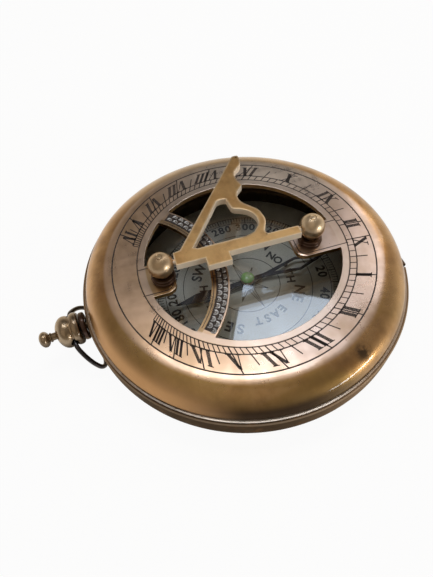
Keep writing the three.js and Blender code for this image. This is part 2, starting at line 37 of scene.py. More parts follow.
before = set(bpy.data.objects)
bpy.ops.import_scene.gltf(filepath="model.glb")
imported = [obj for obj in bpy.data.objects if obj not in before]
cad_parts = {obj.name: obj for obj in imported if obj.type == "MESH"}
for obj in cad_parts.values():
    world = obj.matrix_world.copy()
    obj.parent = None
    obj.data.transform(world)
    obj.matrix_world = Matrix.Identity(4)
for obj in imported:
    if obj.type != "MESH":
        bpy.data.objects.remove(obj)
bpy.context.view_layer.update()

MM = 0.001
LID_TOP = 14.6
CUTOUT_SHIFT = 1.3
TONGUE_ENDS = ((11.6, 1), (-16.2, -1))
TONGUE_HALF = 4.4
TONGUE_CORNER = 2.4
BAND_HEART = (CUTOUT_SHIFT, -29.7)
BAND_REACH = 25.3
BAND_WIDTH = 4.0
POST_PLACES = (("hinge", 16.0, -1), ("crown", -18.6, 1))
PIN_HEIGHT = 4.4
CROWN_TURN = 5.6
CROWN_HEIGHT = 7.9
BOW_AXIS = 41.65
BARREL_HALF = 12.3
BARREL_NEAR = 33.7
BARREL_FAR = 42
CAPSULE_MIDDLE = (0.6, 1.2)
NOON = 85.5
CARD_NORTH = 103.6
INK_LIFT = 0.012


# Properties

def length(name, description, millimetres):
    return FloatProperty(name=name, description=description, default=millimetres * MM, min=0.0,
                         precision=5, subtype="DISTANCE", unit="LENGTH")


def colour(name, description, value):
    return FloatVectorProperty(name=name, description=description, default=value, size=3,
                               min=0.0, max=1.0, subtype="COLOR")


def angle(name, description, degrees):
    return FloatProperty(name=name, description=description, default=math.radians(degrees),
                         subtype="ANGLE", unit="ROTATION")


def power(name, description, watts):
    return FloatProperty(name=name, description=description, default=watts, min=0.0,
                         subtype="POWER", unit="POWER")


class CaseSizes(bpy.types.PropertyGroup):
    """Sizes of the case halves"""

    case_radius: length("Case radius", "Outer radius of the base", 38.0)
    lid_radius: length("Lid radius", "Outer radius of the lid at the seam", 37.0)
    case_height: length("Case height", "Height of the lid's flat top", LID_TOP)
    plate: length("Plate", "Thickness of the lid's plate", 1.2)
    flat_radius: length("Flat radius", "Radius where the flat hour ring turns down", 29.8)
    window_radius: length("Window radius", "Radius of the opening in the lid", 22.5)
    rim_height: length("Rim height", "Height of the base's upper edge", 9.6)
    edge_softness: length("Edge softness", "Rounding of the lid's cut edges", 0.22)


class EngravingSizes(bpy.types.PropertyGroup):
    """Sizes of the engraved hour ring"""

    outer_circle: length("Outer circle", "Radius of the outermost circle", 30.0)
    hour_circle: length("Hour circle", "Radius of the circle below the numerals", 25.6)
    inner_circle: length("Inner circle", "Radius of the circle beside the window", 24.1)
    foot: length("Foot", "Distance from the centre to the point all hour lines run from", 13.7)
    line_width: length("Line width", "Width of an hour line", 0.28)
    numeral_height: length("Numeral height", "Height of the hour numerals", 3.2)
    noon_gap: length("Noon gap", "Half the gap between the two noon lines", 2.3)
    depth: length("Depth", "Depth of the filled cuts", 0.05)


class CompassSizes(bpy.types.PropertyGroup):
    """Sizes of the compass under the glass"""

    card_height: length("Card height", "Height of the card's face", 2.1)
    card_radius: length("Card radius", "Radius of the card", 29.3)
    glass_height: length("Glass height", "Height of the glass's upper face", 8.0)
    needle_reach: length("Needle reach", "Length of the needle's arrow end", 22.0)
    needle_heading: angle("Needle heading", "Direction of the needle's arrow end", 95.0)


class BrassColours(bpy.types.PropertyGroup):
    """Colours of the finishes"""

    bright: colour("Bright brass", "Polished high spots", (0.52, 0.3, 0.12))
    warm: colour("Warm brass", "Main colour of the case", (0.35, 0.175, 0.05))
    deep: colour("Deep brass", "Older tarnish", (0.15, 0.064, 0.018))
    # The seam colour is also laid on the lid's lower shoulder as painted shade.
    seam: colour("Seam dirt", "Dirt along the seam", (0.03, 0.014, 0.005))
    soot: colour("Soot", "Filling of the engraving", (0.02, 0.014, 0.012))
    rose: colour("Rose", "Pink cast of the hour ring", (0.62, 0.48, 0.41))
    rose_deep: colour("Deep rose", "Darker patches of the hour ring", (0.42, 0.3, 0.22))
    card: colour("Card", "Silvered card", (0.74, 0.73, 0.64))
    ink: colour("Ink", "Printing on the card", (0.02, 0.02, 0.022))
    jewel: colour("Jewel", "Cap of the needle", (0.42, 0.95, 0.24))


class StudioSettings(bpy.types.PropertyGroup):
    """Light and floor"""

    floor: colour("Floor", "Colour of the floor", (0.9, 0.9, 0.9))
    key_power: power("Key power", "Power of the overhead panel", 0.11)
    ceiling_power: power("Ceiling power", "Power of the wide panel above", 0.6)
    back_power: power("Back power", "Power of the panel behind", 0.36)
    strip_power: power("Strip power", "Power of the low strip", 1.1)
    fill_power: power("Fill power", "Power of the panel beside the camera", 0.6)


# Shader graph

def direction(azimuth, elevation):
    """Unit vector towards a direction given in degrees."""
    turn, rise = math.radians(azimuth), math.radians(elevation)
    return Vector((math.cos(turn) * math.cos(rise), math.sin(turn) * math.cos(rise), math.sin(rise)))


class Wire:
    """A shader output that can be used in a sum."""

    def __init__(self, graph, socket):
        self.graph = graph
        self.socket = socket

    def __add__(self, other):
        return self.graph.maths("ADD", self, other)

    def __sub__(self, other):
        return self.graph.maths("SUBTRACT", self, other)

    def __rsub__(self, other):
        return self.graph.maths("SUBTRACT", other, self)

    def __mul__(self, other):
        return self.graph.maths("MULTIPLY", self, other)

    def __truediv__(self, other):
        return self.graph.maths("DIVIDE", self, other)

    __radd__ = __add__
    __rmul__ = __mul__


class Graph:
    """Nodes of one material, or of the world."""

    def __init__(self, tree, coordinates):
        self.tree = tree
        self.tree.nodes.clear()
        self.place = self.node("TexCoord", output=coordinates)

    def node(self, kind, inputs=None, output=0, **settings):
        """Adds one node. Settings come first, then the values or links of its inputs."""
        made = self.tree.nodes.new("ShaderNode" + kind)
        for name, value in settings.items():
            setattr(made, name, value)
        for name, value in (inputs or {}).items():
            if isinstance(value, Wire):
                self.tree.links.new(value.socket, made.inputs[name])
            else:
                made.inputs[name].default_value = value
        return Wire(self, made.outputs[output])

    def end(self, kind, shader):
        """Links a shader to the output node."""
        out = self.tree.nodes.new("ShaderNodeOutput" + kind)
        self.tree.links.new(shader.socket, out.inputs["Surface"])

    def maths(self, operation, *values):
        return self.node("Math", dict(enumerate(values)), operation=operation)

    def measure(self, operation, point):
        """A number made from the place vector and a point or direction."""
        return self.node("VectorMath", {0: self.place, 1: point}, 1, operation=operation)

    def noise(self, scale, detail, roughness, stretch=(1.0, 1.0, 1.0), turn=0.0):
        where = self.node("Mapping", {"Vector": self.place, "Scale": stretch, "Rotation": (0.0, 0.0, turn)})
        return self.node("TexNoise", {"Vector": where, "Scale": scale, "Detail": detail,
                                      "Roughness": roughness})

    def ease(self, value, low, high):
        """0 below low, 1 above high and a smooth step between them."""
        return self.node("MapRange", {"Value": value, "From Min": low, "From Max": high},
                         interpolation_type="SMOOTHSTEP")

    def patches(self, scale, detail, roughness, low, high):
        """Noise whose middle range is drawn out to 0 and 1."""
        return self.ease(self.noise(scale, detail, roughness), low, high)

    def layers(self, base, *coats):
        """Lays colours over a base, each with its share."""
        for share, tint in coats:
            shades = [value if isinstance(value, Wire) else (*value[:3], 1.0) for value in (base, tint)]
            base = self.node("Mix", {0: share, 6: shades[0], 7: shades[1]}, 2, data_type="RGBA")
        return base

    def split(self, vector):
        parts = self.tree.nodes.new("ShaderNodeSeparateXYZ")
        self.tree.links.new(vector.socket, parts.inputs[0])
        return [Wire(self, output) for output in parts.outputs]


class Finish(Graph):
    """A material of the compass."""

    def __init__(self, name):
        self.material = bpy.data.materials.new(name)
        self.material.use_nodes = True
        super().__init__(self.material.node_tree, "Object")

    def axes(self):
        """Distance from the Z axis, height and the two level coordinates, all in metres."""
        east, north, height = self.split(self.place)
        return self.maths("SQRT", east * east + north * north), height, east, north

    def cut_edges(self, sides=0.0):
        """1 on the rounded edge of a plate, and a share of it on its upright sides."""
        upward = self.split(self.node("TexCoord", output="Normal"))[2]
        lean = self.maths("ABSOLUTE", upward)
        return (self.ease(lean, 0.12, 0.35) * (1.0 - sides) + sides) * (1.0 - self.ease(lean, 0.9, 0.985))

    def bump(self, height, strength, distance, **normal):
        return self.node("Bump", {"Height": height, "Strength": strength, "Distance": distance, **normal})

    def surface(self, **inputs):
        named = {name.replace("_", " "): value for name, value in inputs.items()}
        return self.output(self.node("BsdfPrincipled", named))

    def output(self, shader):
        self.end("Material", shader)
        return self.material


def aged_brass(name, bright, warm, deep, roughness, tarnish, grain, shade=None, lacquer=0.3, sheen=0.5):
    """Handled brass: broad tarnish, fine spots, hairline scratches and a slightly uneven surface."""
    finish = Finish(name)
    broad = finish.patches(75.0, 5.0, 0.6, 0.36, 0.66)
    cloudy = finish.patches(260.0, 4.0, 0.6, 0.4, 0.74)
    spots = finish.patches(1500.0, 3.0, 0.6, 0.62, 0.74)
    metal = finish.layers(bright, (broad, warm), (cloudy * tarnish, deep), (spots * (0.4 * tarnish), deep))
    dull = 0.0
    if shade:
        metal, dull = shade(finish, metal)
    hairs = (finish.noise(900.0, 2.0, 0.5, (1.0, 0.06, 1.0), 0.5)
             + finish.noise(900.0, 2.0, 0.5, (0.06, 1.0, 1.0), 0.2))
    waves = finish.bump(finish.noise(60.0, 2.0, 0.4), 0.25 * grain, 0.0006)
    normal = finish.bump(hairs, 0.12 * grain, 0.00008, Normal=waves)
    gloss = broad * 0.06 + cloudy * 0.05 + spots * 0.04 + (hairs - 1.0) * 0.12 + dull * 0.3 + roughness
    return finish.surface(Base_Color=metal, Metallic=1.0 - dull * 0.55, Roughness=gloss, Normal=normal,
                          Coat_Weight=lacquer - dull * lacquer, Coat_Roughness=0.08, Coat_IOR=1.6,
                          Specular_IOR_Level=sheen, Specular_Tint=(0.85, 0.68, 0.46, 1.0))


# Shapes

def polar(radius, degrees, centre=(0.0, 0.0)):
    turn = math.radians(degrees)
    return (centre[0] + radius * math.cos(turn), centre[1] + radius * math.sin(turn))


def arc(radius, start, end, centre=(0.0, 0.0), step=1.5):
    count = max(2, math.ceil(abs(end - start) / step))
    return [polar(radius, start + (end - start) * i / count, centre) for i in range(count + 1)]


def ellipse(centre, reach, rise, from_angle, to_angle, steps):
    points = []
    for i in range(steps + 1):
        turn = math.radians(from_angle + (to_angle - from_angle) * i / steps)
        points.append((centre[0] + reach * math.cos(turn), centre[1] + rise * math.sin(turn)))
    return points


def bearing(point, centre=(0.0, 0.0)):
    return math.degrees(math.atan2(point[1] - centre[1], point[0] - centre[0]))


def crossings(radius, heart, reach):
    """Where a circle round the centre crosses a circle round the heart, leftmost point first."""
    across = Vector(heart)
    span = across.length
    along = (radius ** 2 - reach ** 2 + span ** 2) / (2 * span)
    off = math.sqrt(radius ** 2 - along ** 2)
    ahead = across.normalized()
    side = Vector((ahead.y, -ahead.x))
    return sorted(tuple(ahead * along + side * way) for way in (off, -off))


def through(points, steps=8):
    """Smooth curve through points."""
    curve = []
    last = len(points) - 1
    for i in range(last):
        p0, p1, p2, p3 = (Vector(points[max(0, min(last, i + k))]) for k in (-1, 0, 1, 2))
        for j in range(steps):
            t = j / steps
            a = (p2 - p0) * 0.5
            b = (p3 - p1) * 0.5
            place = (2 * p1 - 2 * p2 + a + b) * t ** 3 + (-3 * p1 + 3 * p2 - 2 * a - b) * t ** 2 + a * t + p1
            curve.append(tuple(place))
    return curve + [tuple(points[last])]


def curl(start, control, end, steps=6):
    """Curve from start to end that leans towards a control point."""
    a, b, c = Vector(start), Vector(control), Vector(end)
    points = []
    for i in range(1, steps + 1):
        t = i / steps
        points.append(tuple(a * (1 - t) ** 2 + b * 2 * t * (1 - t) + c * t * t))
    return points


def shift(x, y, z):
    return Matrix.Translation((x * MM, y * MM, z * MM))


def turned(degrees, axis="Z"):
    return Matrix.Rotation(math.radians(degrees), 4, axis)


def moved(shape, matrix):
    bmesh.ops.transform(shape, matrix=matrix, verts=shape.verts)
    return shape


def tidied(shape):
    bmesh.ops.remove_doubles(shape, verts=shape.verts, dist=1e-7)
    bmesh.ops.dissolve_degenerate(shape, edges=shape.edges, dist=1e-7)
    bmesh.ops.recalc_face_normals(shape, faces=shape.faces)
    return shape


def spun(profile, steps, closed=False, from_angle=0.0, sweep=360.0):
    """Turns radius and height points, in millimetres, about Z."""
    shape = bmesh.new()
    verts = [shape.verts.new((radius * MM, 0.0, height * MM)) for radius, height in profile]
    pairs = list(zip(verts, verts[1:]))
    if closed:
        pairs.append((verts[-1], verts[0]))
    edges = [shape.edges.new(pair) for pair in pairs]
    bmesh.ops.rotate(shape, verts=verts, matrix=turned(from_angle).to_3x3())
    whole = sweep == 360.0
    bmesh.ops.spin(shape, geom=verts + edges, axis=(0, 0, 1), angle=math.radians(sweep), steps=steps,
                   use_merge=whole)
    if not whole:
        bmesh.ops.holes_fill(shape, edges=shape.edges, sides=len(profile))
    return tidied(shape)


def tube(inner, outer, low, high, steps, from_angle=0.0, sweep=360.0):
    """A pipe, or a rod where the inner radius is 0."""
    profile = [(inner, low), (outer, low), (outer, high), (inner, high)]
    return spun(profile, steps, inner > 0, from_angle, sweep)


def softened(shape, width, segments=2, past=40, where=None):
    """Rounds every edge that is sharper than an angle."""
    edges = [edge for edge in shape.edges if edge.is_manifold
             and edge.calc_face_angle(0.0) > math.radians(past) and (where is None or where(edge))]
    bmesh.ops.bevel(shape, geom=edges, offset=width * MM, offset_type="OFFSET", segments=segments,
                    profile=0.5, affect="EDGES", material=-1, clamp_overlap=True)


def meshed(shape, name):
    mesh = bpy.data.meshes.new(name)
    shape.to_mesh(mesh)
    shape.free()
    return mesh


def placed(data, name):
    """Puts a mesh, curve, lamp or camera into the scene."""
    made = bpy.data.objects.new(name, data)
    bpy.context.collection.objects.link(made)
    return made


def only(kind, grown):
    return [item for item in grown["geom"] if isinstance(item, kind)]


def plate(outline, holes, low, high):
    """Flat plate from an outline and its holes, all as points in millimetres."""
    shape = bmesh.new()
    edges = []
    for loop in [outline, *holes]:
        verts = [shape.verts.new((x * MM, y * MM, high * MM)) for x, y in loop]
        edges += [shape.edges.new((verts[i], verts[(i + 1) % len(verts)])) for i in range(len(verts))]
    filled = bmesh.ops.triangle_fill(shape, edges=edges, use_beauty=True, use_dissolve=False)
    grown = bmesh.ops.extrude_face_region(shape, geom=only(bmesh.types.BMFace, filled), use_keep_orig=True)
    bmesh.ops.translate(shape, verts=only(bmesh.types.BMVert, grown), vec=(0, 0, (low - high) * MM))
    bmesh.ops.recalc_face_normals(shape, faces=shape.faces)
    return shape


def bar(shape, start, end, width, low, high):
    """Adds a straight bar between two points, in millimetres."""
    run = Vector((end[0] - start[0], end[1] - start[1]))
    middle = ((start[0] + end[0]) / 2 * MM, (start[1] + end[1]) / 2 * MM, (low + high) / 2 * MM)
    place = Matrix.Translation(middle) @ Matrix.Rotation(math.atan2(run.y, run.x), 4, "Z")
    size = Matrix.Diagonal((run.length * MM, width * MM, (high - low) * MM, 1.0))
    bmesh.ops.create_cube(shape, size=1.0, matrix=place @ size)


def merged(*shapes):
    whole = bmesh.new()
    for shape in shapes:
        mesh = meshed(shape, "part")
        whole.from_mesh(mesh)
        bpy.data.meshes.remove(mesh)
    return whole


def rubbed(shape, width):
    """Adds a loop inside the level faces and marks how near a point is to their edge."""
    marks = shape.verts.layers.float.new("rubbed")
    for vert in shape.verts:
        vert[marks] = 1.0
    for way in (1, -1):
        level = [face for face in shape.faces if face.normal.z * way > 0.995]
        bmesh.ops.inset_region(shape, faces=level, thickness=width * MM, use_even_offset=False)
        for face in level:
            for vert in face.verts:
                vert[marks] = 0.0


def combined(shape, operation, *others):
    """Joins closed shapes, or takes them out of one another."""
    base, *tools = [placed(meshed(item, "tool"), "tool") for item in (shape, *others)]
    for tool in tools:
        step = base.modifiers.new("step", "BOOLEAN")
        step.operation = operation
        step.solver = "EXACT"
        step.object = tool
    result = bmesh.new()
    result.from_object(base, bpy.context.evaluated_depsgraph_get())
    for item in [base, *tools]:
        mesh = item.data
        bpy.data.objects.remove(item)
        bpy.data.meshes.remove(mesh)
    return result


def box_shape(low, high):
    shape = bmesh.new()
    middle = [(a + b) / 2 * MM for a, b in zip(low, high)]
    size = [(b - a) * MM for a, b in zip(low, high)]
    bmesh.ops.create_cube(shape, size=1.0, matrix=Matrix.Translation(middle) @ Matrix.Diagonal((*size, 1.0)))
    return shape


def on_crown(shape):
    """Lays a shape that was made along +Z on the push button's axis."""
    return moved(shape, turned(CROWN_TURN) @ shift(0, 0, CROWN_HEIGHT) @ turned(90, "X"))


def shown(shape, name, body, finish, replaces, crease=40):
    """Turns a finished shape into a piece that rides on a body."""
    mesh = meshed(shape, name)
    mesh.materials.append(FINISHES[finish])
    mesh.shade_smooth()
    mesh.set_sharp_from_angle(angle=math.radians(crease))
    piece = placed(mesh, name)
    step = piece.modifiers.new("Even shading", "WEIGHTED_NORMAL")
    step.keep_sharp = True
    step.weight = 60
    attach(piece, body)
    if replaces:
        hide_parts(*replaces)


# Finishes of this object

def lid_shade(finish, metal):
    """Gives the hour ring its pink cast, darkens the shoulder towards the seam with seam dirt and painted
    shade that is strongest on the side facing the camera, and paints light on the far side and highlights on
    the cut edges.
    """
    colours = bpy.context.scene.brass_colours
    ease = finish.ease
    radius, height, east, north = finish.axes()
    flat = ease(height, 0.01435, 0.01458)
    cloud = finish.patches(140.0, 3.0, 0.55, 0.3, 0.75)
    rose = finish.layers(colours.rose, (cloud, colours.rose_deep))
    tan = finish.layers((0.66, 0.44, 0.28), (cloud, (0.48, 0.31, 0.18)))
    speck = finish.noise(420.0, 5.0, 0.65)
    front = ease((east * 0.954 - north * 0.301) / radius, 0.0, 0.75)
    olive = finish.patches(48.0, 3.0, 0.5, 0.42, 0.62) * front * (1.0 - flat)
    # shaded and low: painted shade on the lower shoulder, strongest on the side that faces the camera,
    # broken by specks, in the seam dirt colour
    shaded = ease((east * 0.866 - north * 0.5) / radius, 0.5, 0.88)
    low = ease(height, 0.0143, 0.0116) * (0.1 + shaded * 0.9)
    # gap: darkens the lid's lowest edge at the seam in the seam dirt colour
    gap = ease(height, 0.0104, 0.0099)
    crown = ease(north, 0.006, -0.02) * flat
    # far and pale: painted light, lighter tones on the far side of the hour ring and of the shoulder
    far = ease(east, -0.002, -0.024) * flat * (1.0 - crown)
    pale = ease(east, -0.018, -0.034) * (1.0 - flat)
    ruddy = ease(north, -0.01, -0.028) * ease(height, 0.0142, 0.0122)
    heart = finish.measure("DISTANCE", Vector((*BAND_HEART, LID_TOP)) * MM)
    margin = ease(heart, 0.0225, 0.0223) * ease(radius, 0.0228, 0.0222) * flat
    rim = ease(radius, 0.0239, 0.0237) * ease(radius, 0.0221, 0.0224) * flat
    # Wear on the cut edges of the hour ring, with painted highlight on them
    edge_wear_and_highlight = finish.cut_edges() * ease(radius, 0.0292, 0.0288) * ease(height, 0.0125, 0.0138)
    mark = ease(finish.measure("DISTANCE", (0.0306, 0.0151, 0.0137)), 0.0026, 0.0006)
    metal = finish.layers(
        metal,
        (flat * 0.9, rose),
        (olive * 0.5, (0.36, 0.235, 0.062)),
        (low * ease(speck + low * 0.9, 0.3, 0.75), colours.seam),
        (gap * 0.8, colours.seam),
        (crown * 0.85, tan),
        (far * 0.8, (1.0, 0.83, 0.67)),
        (pale * 0.6, (0.52, 0.42, 0.3)),
        (ruddy * 0.65, (0.62, 0.35, 0.16)),
        (ruddy * ease(east, 0.0, 0.012) * 0.7, (0.85, 0.5, 0.23)),
        (margin * 0.85, (0.36, 0.23, 0.11)),
        (rim * 0.5, (0.6, 0.47, 0.38)),
        (edge_wear_and_highlight, (0.92, 0.8, 0.68)),
        (mark * ease(speck, 0.35, 0.55) * 0.85, colours.seam))
    return metal, low


def plate_shade(finish, metal):
    """Rubs a band along the edges of a plate bright, and paints highlight on its rounded edges and light on
    its upright sides.
    """
    mark = finish.node("Attribute", output=2, attribute_name="rubbed")
    # Painted highlight on the rounded edges and painted light on the upright sides, over edge wear
    edge_wear_and_highlight = finish.cut_edges(0.8)
    return finish.layers(metal, (mark * 0.75, (0.92, 0.72, 0.46)), (edge_wear_and_highlight, (1.0, 0.9, 0.76))), edge_wear_and_highlight


def capsule_shade(finish, metal):
    """Blackens the wall under the glass, so that it throws no light on the card."""
    inside = finish.ease(finish.axes()[1], 0.0068, 0.0065)
    return finish.layers(metal, (inside * 0.95, (0.02, 0.016, 0.012))), inside


def base_shade(finish, metal):
    """Brightens the rim with rubbing wear and painted highlight, and darkens the wall under it with dirt and
    painted shade, most on the side that faces the camera.
    """
    deep = bpy.context.scene.brass_colours.deep
    radius, height, east, north = finish.axes()
    speck = finish.noise(380.0, 5.0, 0.65)
    # shaded: painted shade on the side of the wall that faces the camera, laid over dirt specks
    shaded = finish.ease((east * 0.906 - north * 0.42) / radius, 0.68, 0.95)
    wall_dirt_and_shade = finish.layers((0.19, 0.12, 0.066), (shaded, (0.03, 0.015, 0.006)),
                          (finish.ease(speck, 0.5, 0.75) * 0.5, deep))
    # line and edge: pale lines on the rim's inner and outer edges, rubbing wear with painted highlight,
    # brightest on the lit side
    line = finish.ease(radius, 0.0376, 0.03735) * finish.ease(height, 0.0094, 0.0095)
    lit = finish.ease((east * 0.99 - north * 0.14) / radius, 0.84, 0.97)
    edge = finish.ease(radius, 0.03765, 0.03785) * finish.ease(height, 0.0090, 0.0093)
    wall = finish.layers(metal, (0.94, wall_dirt_and_shade),
                         (line * (0.35 + speck * 0.6) * (0.25 + lit * 0.75), (0.95, 0.84, 0.72)),
                         (edge * 0.3, (0.7, 0.54, 0.38)))
    return wall, 1.0 - line * 0.8


def pendant_shade(finish, metal):
    """Paints shade on the underside, and darkens the part next to the case."""
    radius, height = finish.axes()[:2]
    # under: painted shade on the lower half, below the pendant's axis
    under = finish.ease(height, 0.0098, 0.0066)
    near_case = finish.ease(radius, 0.0412, 0.0398)
    metal = finish.layers(metal, (near_case * 0.6, (0.07, 0.045, 0.03)),
                          (under * 0.95, (0.03, 0.016, 0.008)))
    return metal, under


def metal_finishes(colours):
    """Each metal: name, three colours, roughness, tarnish, grain, and shade, lacquer and sheen if any."""
    bright, warm, deep = colours.bright, colours.warm, colours.deep
    metals = {
        "lid": ("lid brass", bright, warm, deep, 0.27, 0.45, 1.0, lid_shade, 0.7),
        "base": ("base brass", warm, deep, (0.09, 0.055, 0.03), 0.3, 0.5, 1.0, base_shade, 0.3, 0.1),
        "gnomon": ("gnomon brass", (0.76, 0.46, 0.19), (0.54, 0.3, 0.11), (0.34, 0.17, 0.06), 0.34, 0.6, 0.8,
                   plate_shade),
        "capsule": ("capsule brass", (0.7, 0.46, 0.22), (0.5, 0.3, 0.13), (0.3, 0.16, 0.06), 0.34, 0.6, 0.8,
                    capsule_shade),
        "ball": ("ball brass", (0.64, 0.5, 0.33), (0.48, 0.35, 0.21), (0.24, 0.15, 0.08), 0.33, 0.45, 0.7),
        "pendant": ("pendant brass", (0.56, 0.45, 0.32), (0.3, 0.21, 0.12), (0.07, 0.04, 0.02),
                    0.24, 0.7, 1.0, pendant_shade, 0.6, 0.2),
        "dark": ("dark brass", (0.1, 0.055, 0.036), (0.055, 0.028, 0.018), (0.02, 0.012, 0.008),
                 0.36, 0.6, 1.0),
        "petal": ("band petals", (0.42, 0.41, 0.4), (0.3, 0.29, 0.28), (0.1, 0.09, 0.08), 0.4, 0.5, 0.6),
        "steel": ("spring steel", (0.4, 0.4, 0.4), (0.25, 0.25, 0.26), (0.1, 0.08, 0.07), 0.28, 0.4, 0.8),
        "black": ("blackened steel", (0.05, 0.05, 0.055), (0.03, 0.03, 0.035), (0.09, 0.05, 0.03),
                  0.3, 0.4, 0.8),
    }
    return {name: aged_brass(*values) for name, values in metals.items()}


def soot_finish(colours):
    finish = Finish("engraving fill")
    soil = finish.patches(900.0, 4.0, 0.6, 0.35, 0.7)
    return finish.surface(Base_Color=finish.layers(colours.soot, (soil, (0.06, 0.04, 0.03))),
                          Roughness=0.45 + soil * 0.3, Metallic=0.3)


def ink_finish(colours):
    finish = Finish("card ink")
    patchy = finish.noise(1800.0, 3.0, 0.6)
    return finish.surface(Base_Color=finish.layers(colours.ink, (patchy * 0.5, (0.07, 0.07, 0.06))),
                          Roughness=0.5 + patchy * 0.2)


def jewel_finish(colours):
    finish = Finish("jewel green")
    cloud = finish.patches(900.0, 4.0, 0.6, 0.35, 0.65)
    return finish.surface(Base_Color=finish.layers(colours.jewel, (cloud, (0.75, 1.0, 0.58))),
                          Roughness=0.12 + cloud * 0.1, Coat_Weight=1.0)


def card_finish(colours):
    """Silvered card: faint turning lines, yellowed patches and small stains."""
    finish = Finish("silvered card")
    rings = finish.maths("SINE", finish.axes()[0] * 42000.0)
    age = finish.patches(70.0, 4.0, 0.6, 0.35, 0.7)
    stains = finish.patches(700.0, 5.0, 0.7, 0.6, 0.8)
    face = finish.layers(colours.card, (age * 0.5, (0.56, 0.5, 0.33)), (stains * 0.35, (0.22, 0.18, 0.12)))
    return finish.surface(Base_Color=face, Metallic=0.3, Roughness=0.36 + age * 0.1,
                          Normal=finish.bump(rings, 0.1, 0.00001))


def glass_finish():
    """Clear flat glass: a mirror that grows towards grazing, over a clear sheet with a faint film."""
    glass_index = 1.6
    finish = Finish("cover glass")
    smear = finish.patches(120.0, 4.0, 0.6, 0.4, 0.8)
    inside = finish.node("NewGeometry", output="Backfacing")
    mirror = finish.node("Fresnel", {"IOR": glass_index + inside * (1 / glass_index - glass_index)})
    shine = finish.node("BsdfGlossy", {"Color": (0.95, 0.97, 1.0, 1.0), "Roughness": 0.02})
    clear = finish.node("BsdfTransparent", {"Color": (0.88, 0.89, 0.9, 1.0)})
    return finish.output(finish.node("MixShader", {0: mirror * 1.8 + smear * 0.01, 1: clear, 2: shine}))


def build_finishes():
    colours = bpy.context.scene.brass_colours
    return {**metal_finishes(colours), "soot": soot_finish(colours), "ink": ink_finish(colours),
            "jewel": jewel_finish(colours), "card": card_finish(colours), "glass": glass_finish()}


FINISHES = {}


# Lid

def tongue(end, side, radius, inset=0.0):
    """Outline of a tongue of the lid, from its left root on a circle to the right one."""
    half, corner = TONGUE_HALF - inset, TONGUE_CORNER - inset
    left, right = CUTOUT_SHIFT - half, CUTOUT_SHIFT + half
    middle = end + TONGUE_CORNER * side
    first = arc(corner, 180, 180 + 90 * side, (left + corner, middle), 15)
    second = arc(corner, -90 * side, 0, (right - corner, middle), 15)
    roots = [(x, side * math.sqrt(radius ** 2 - x ** 2)) for x in (left, right)]
    return [roots[0], *first, *second, roots[1]]


def window_holes(window):
    """The two openings of the lid, either side of the crescent band."""
    def along_window(first, last):
        start = bearing(first)
        return arc(window, start, start + (bearing(last) - start) % 360)

    def hole(start, border, stop, reach):
        edge = arc(reach, bearing(stop, BAND_HEART), bearing(start, BAND_HEART), BAND_HEART)
        return [*along_window(start, border[0])[:-1], *border,
                *along_window(border[-1], stop)[1:], *edge[1:-1]]

    outer_left, outer_right = crossings(window, BAND_HEART, BAND_REACH)
    inner_left, inner_right = crossings(window, BAND_HEART, BAND_REACH - BAND_WIDTH)
    hinge, crown = (tongue(end, side, window) for end, side in TONGUE_ENDS)
    return (hole(outer_right, hinge[::-1], outer_left, BAND_REACH),
            hole(inner_left, crown, inner_right, BAND_REACH - BAND_WIDTH))


def barrel_gap(low, high):
    """Room for the hinge, to be taken out of a half of the case."""
    return box_shape((-BARREL_HALF, BARREL_NEAR, low), (BARREL_HALF, BARREL_FAR, high))


class COMPASS_OT_lid(bpy.types.Operator):
    """Builds the lid with its window, tongues and crescent band"""

    bl_idname = "compass.lid"
    bl_label = "Lid"

    def execute(self, context):
        case = context.scene.case_sizes
        top = case.case_height / MM
        under = top - case.plate / MM
        flat = case.flat_radius / MM
        side = case.lid_radius / MM
        seam, wall, steps = 9.9, 1.2, 240
        circle = [polar(flat, 360 * i / steps) for i in range(steps)]
        shape = plate(circle, window_holes(case.window_radius / MM), under, top)
        joint = [face for face in shape.faces
                 if all(abs(vert.co.xy.length - flat * MM) < 1e-6 for vert in face.verts)]
        bmesh.ops.delete(shape, geom=joint, context="FACES_ONLY")
        outside = ellipse((flat, seam), side - flat, top - seam, 90, 0, 14)
        inside = ellipse((flat, seam), side - flat - wall, under - seam, 0, 90, 10)
        shape = tidied(merged(shape, spun([*outside, *inside], steps)))
        softened(shape, case.edge_softness / MM, 2, 50,
                 lambda edge: edge.verts[0].co.xy.length < flat * MM - 1e-5)
        softened(shape, 0.2, 2, 50, lambda edge: edge.verts[0].co.z < 0.011)
        shape = combined(shape, "DIFFERENCE", barrel_gap(0, 11.05))
        shown(shape, "case_lid", "lid", "lid", ["lid_shell"], 38)
        return {"FINISHED"}


class COMPASS_OT_base(bpy.types.Operator):
    """Builds the base of the case"""

    bl_idname = "compass.base"
    bl_label = "Base"

    def execute(self, context):
        case = context.scene.case_sizes
        radius = case.case_radius / MM
        rim = case.rim_height / MM
        bend, foot, floor, step = (33.0, 5.6), 32.0, 1.2, 1.2
        outside = ellipse(bend, radius - bend[0], bend[1], -90, 0, 14)
        inside = ellipse(bend, 3.6, 4.4, 0, -90, 8)
        shape = spun([(0, 0), (foot, 0), *outside, (radius, rim - 0.3), (radius - 0.3, rim), (35.5, rim),
                      (35.5, rim + 0.8), (35.1, rim + step), (34.5, rim + step), (34.5, rim - step),
                      (36.6, rim - step), *inside, (foot, floor), (0, floor)], 240)
        softened(shape, 0.12, 2, 40, lambda edge: edge.verts[0].co.z > 0.0075)
        slot = moved(box_shape((-2.9, -36.3, 8.1), (2.9, -33.3, 16)), turned(CROWN_TURN))
        bore = on_crown(tube(0, 1.15, 33, 40, 32))
        shape = combined(shape, "DIFFERENCE", barrel_gap(7.75, 16), slot, bore)
        shown(shape, "case_base", "base", "base", ["base_shell"], 38)
        return {"FINISHED"}


# Engraving

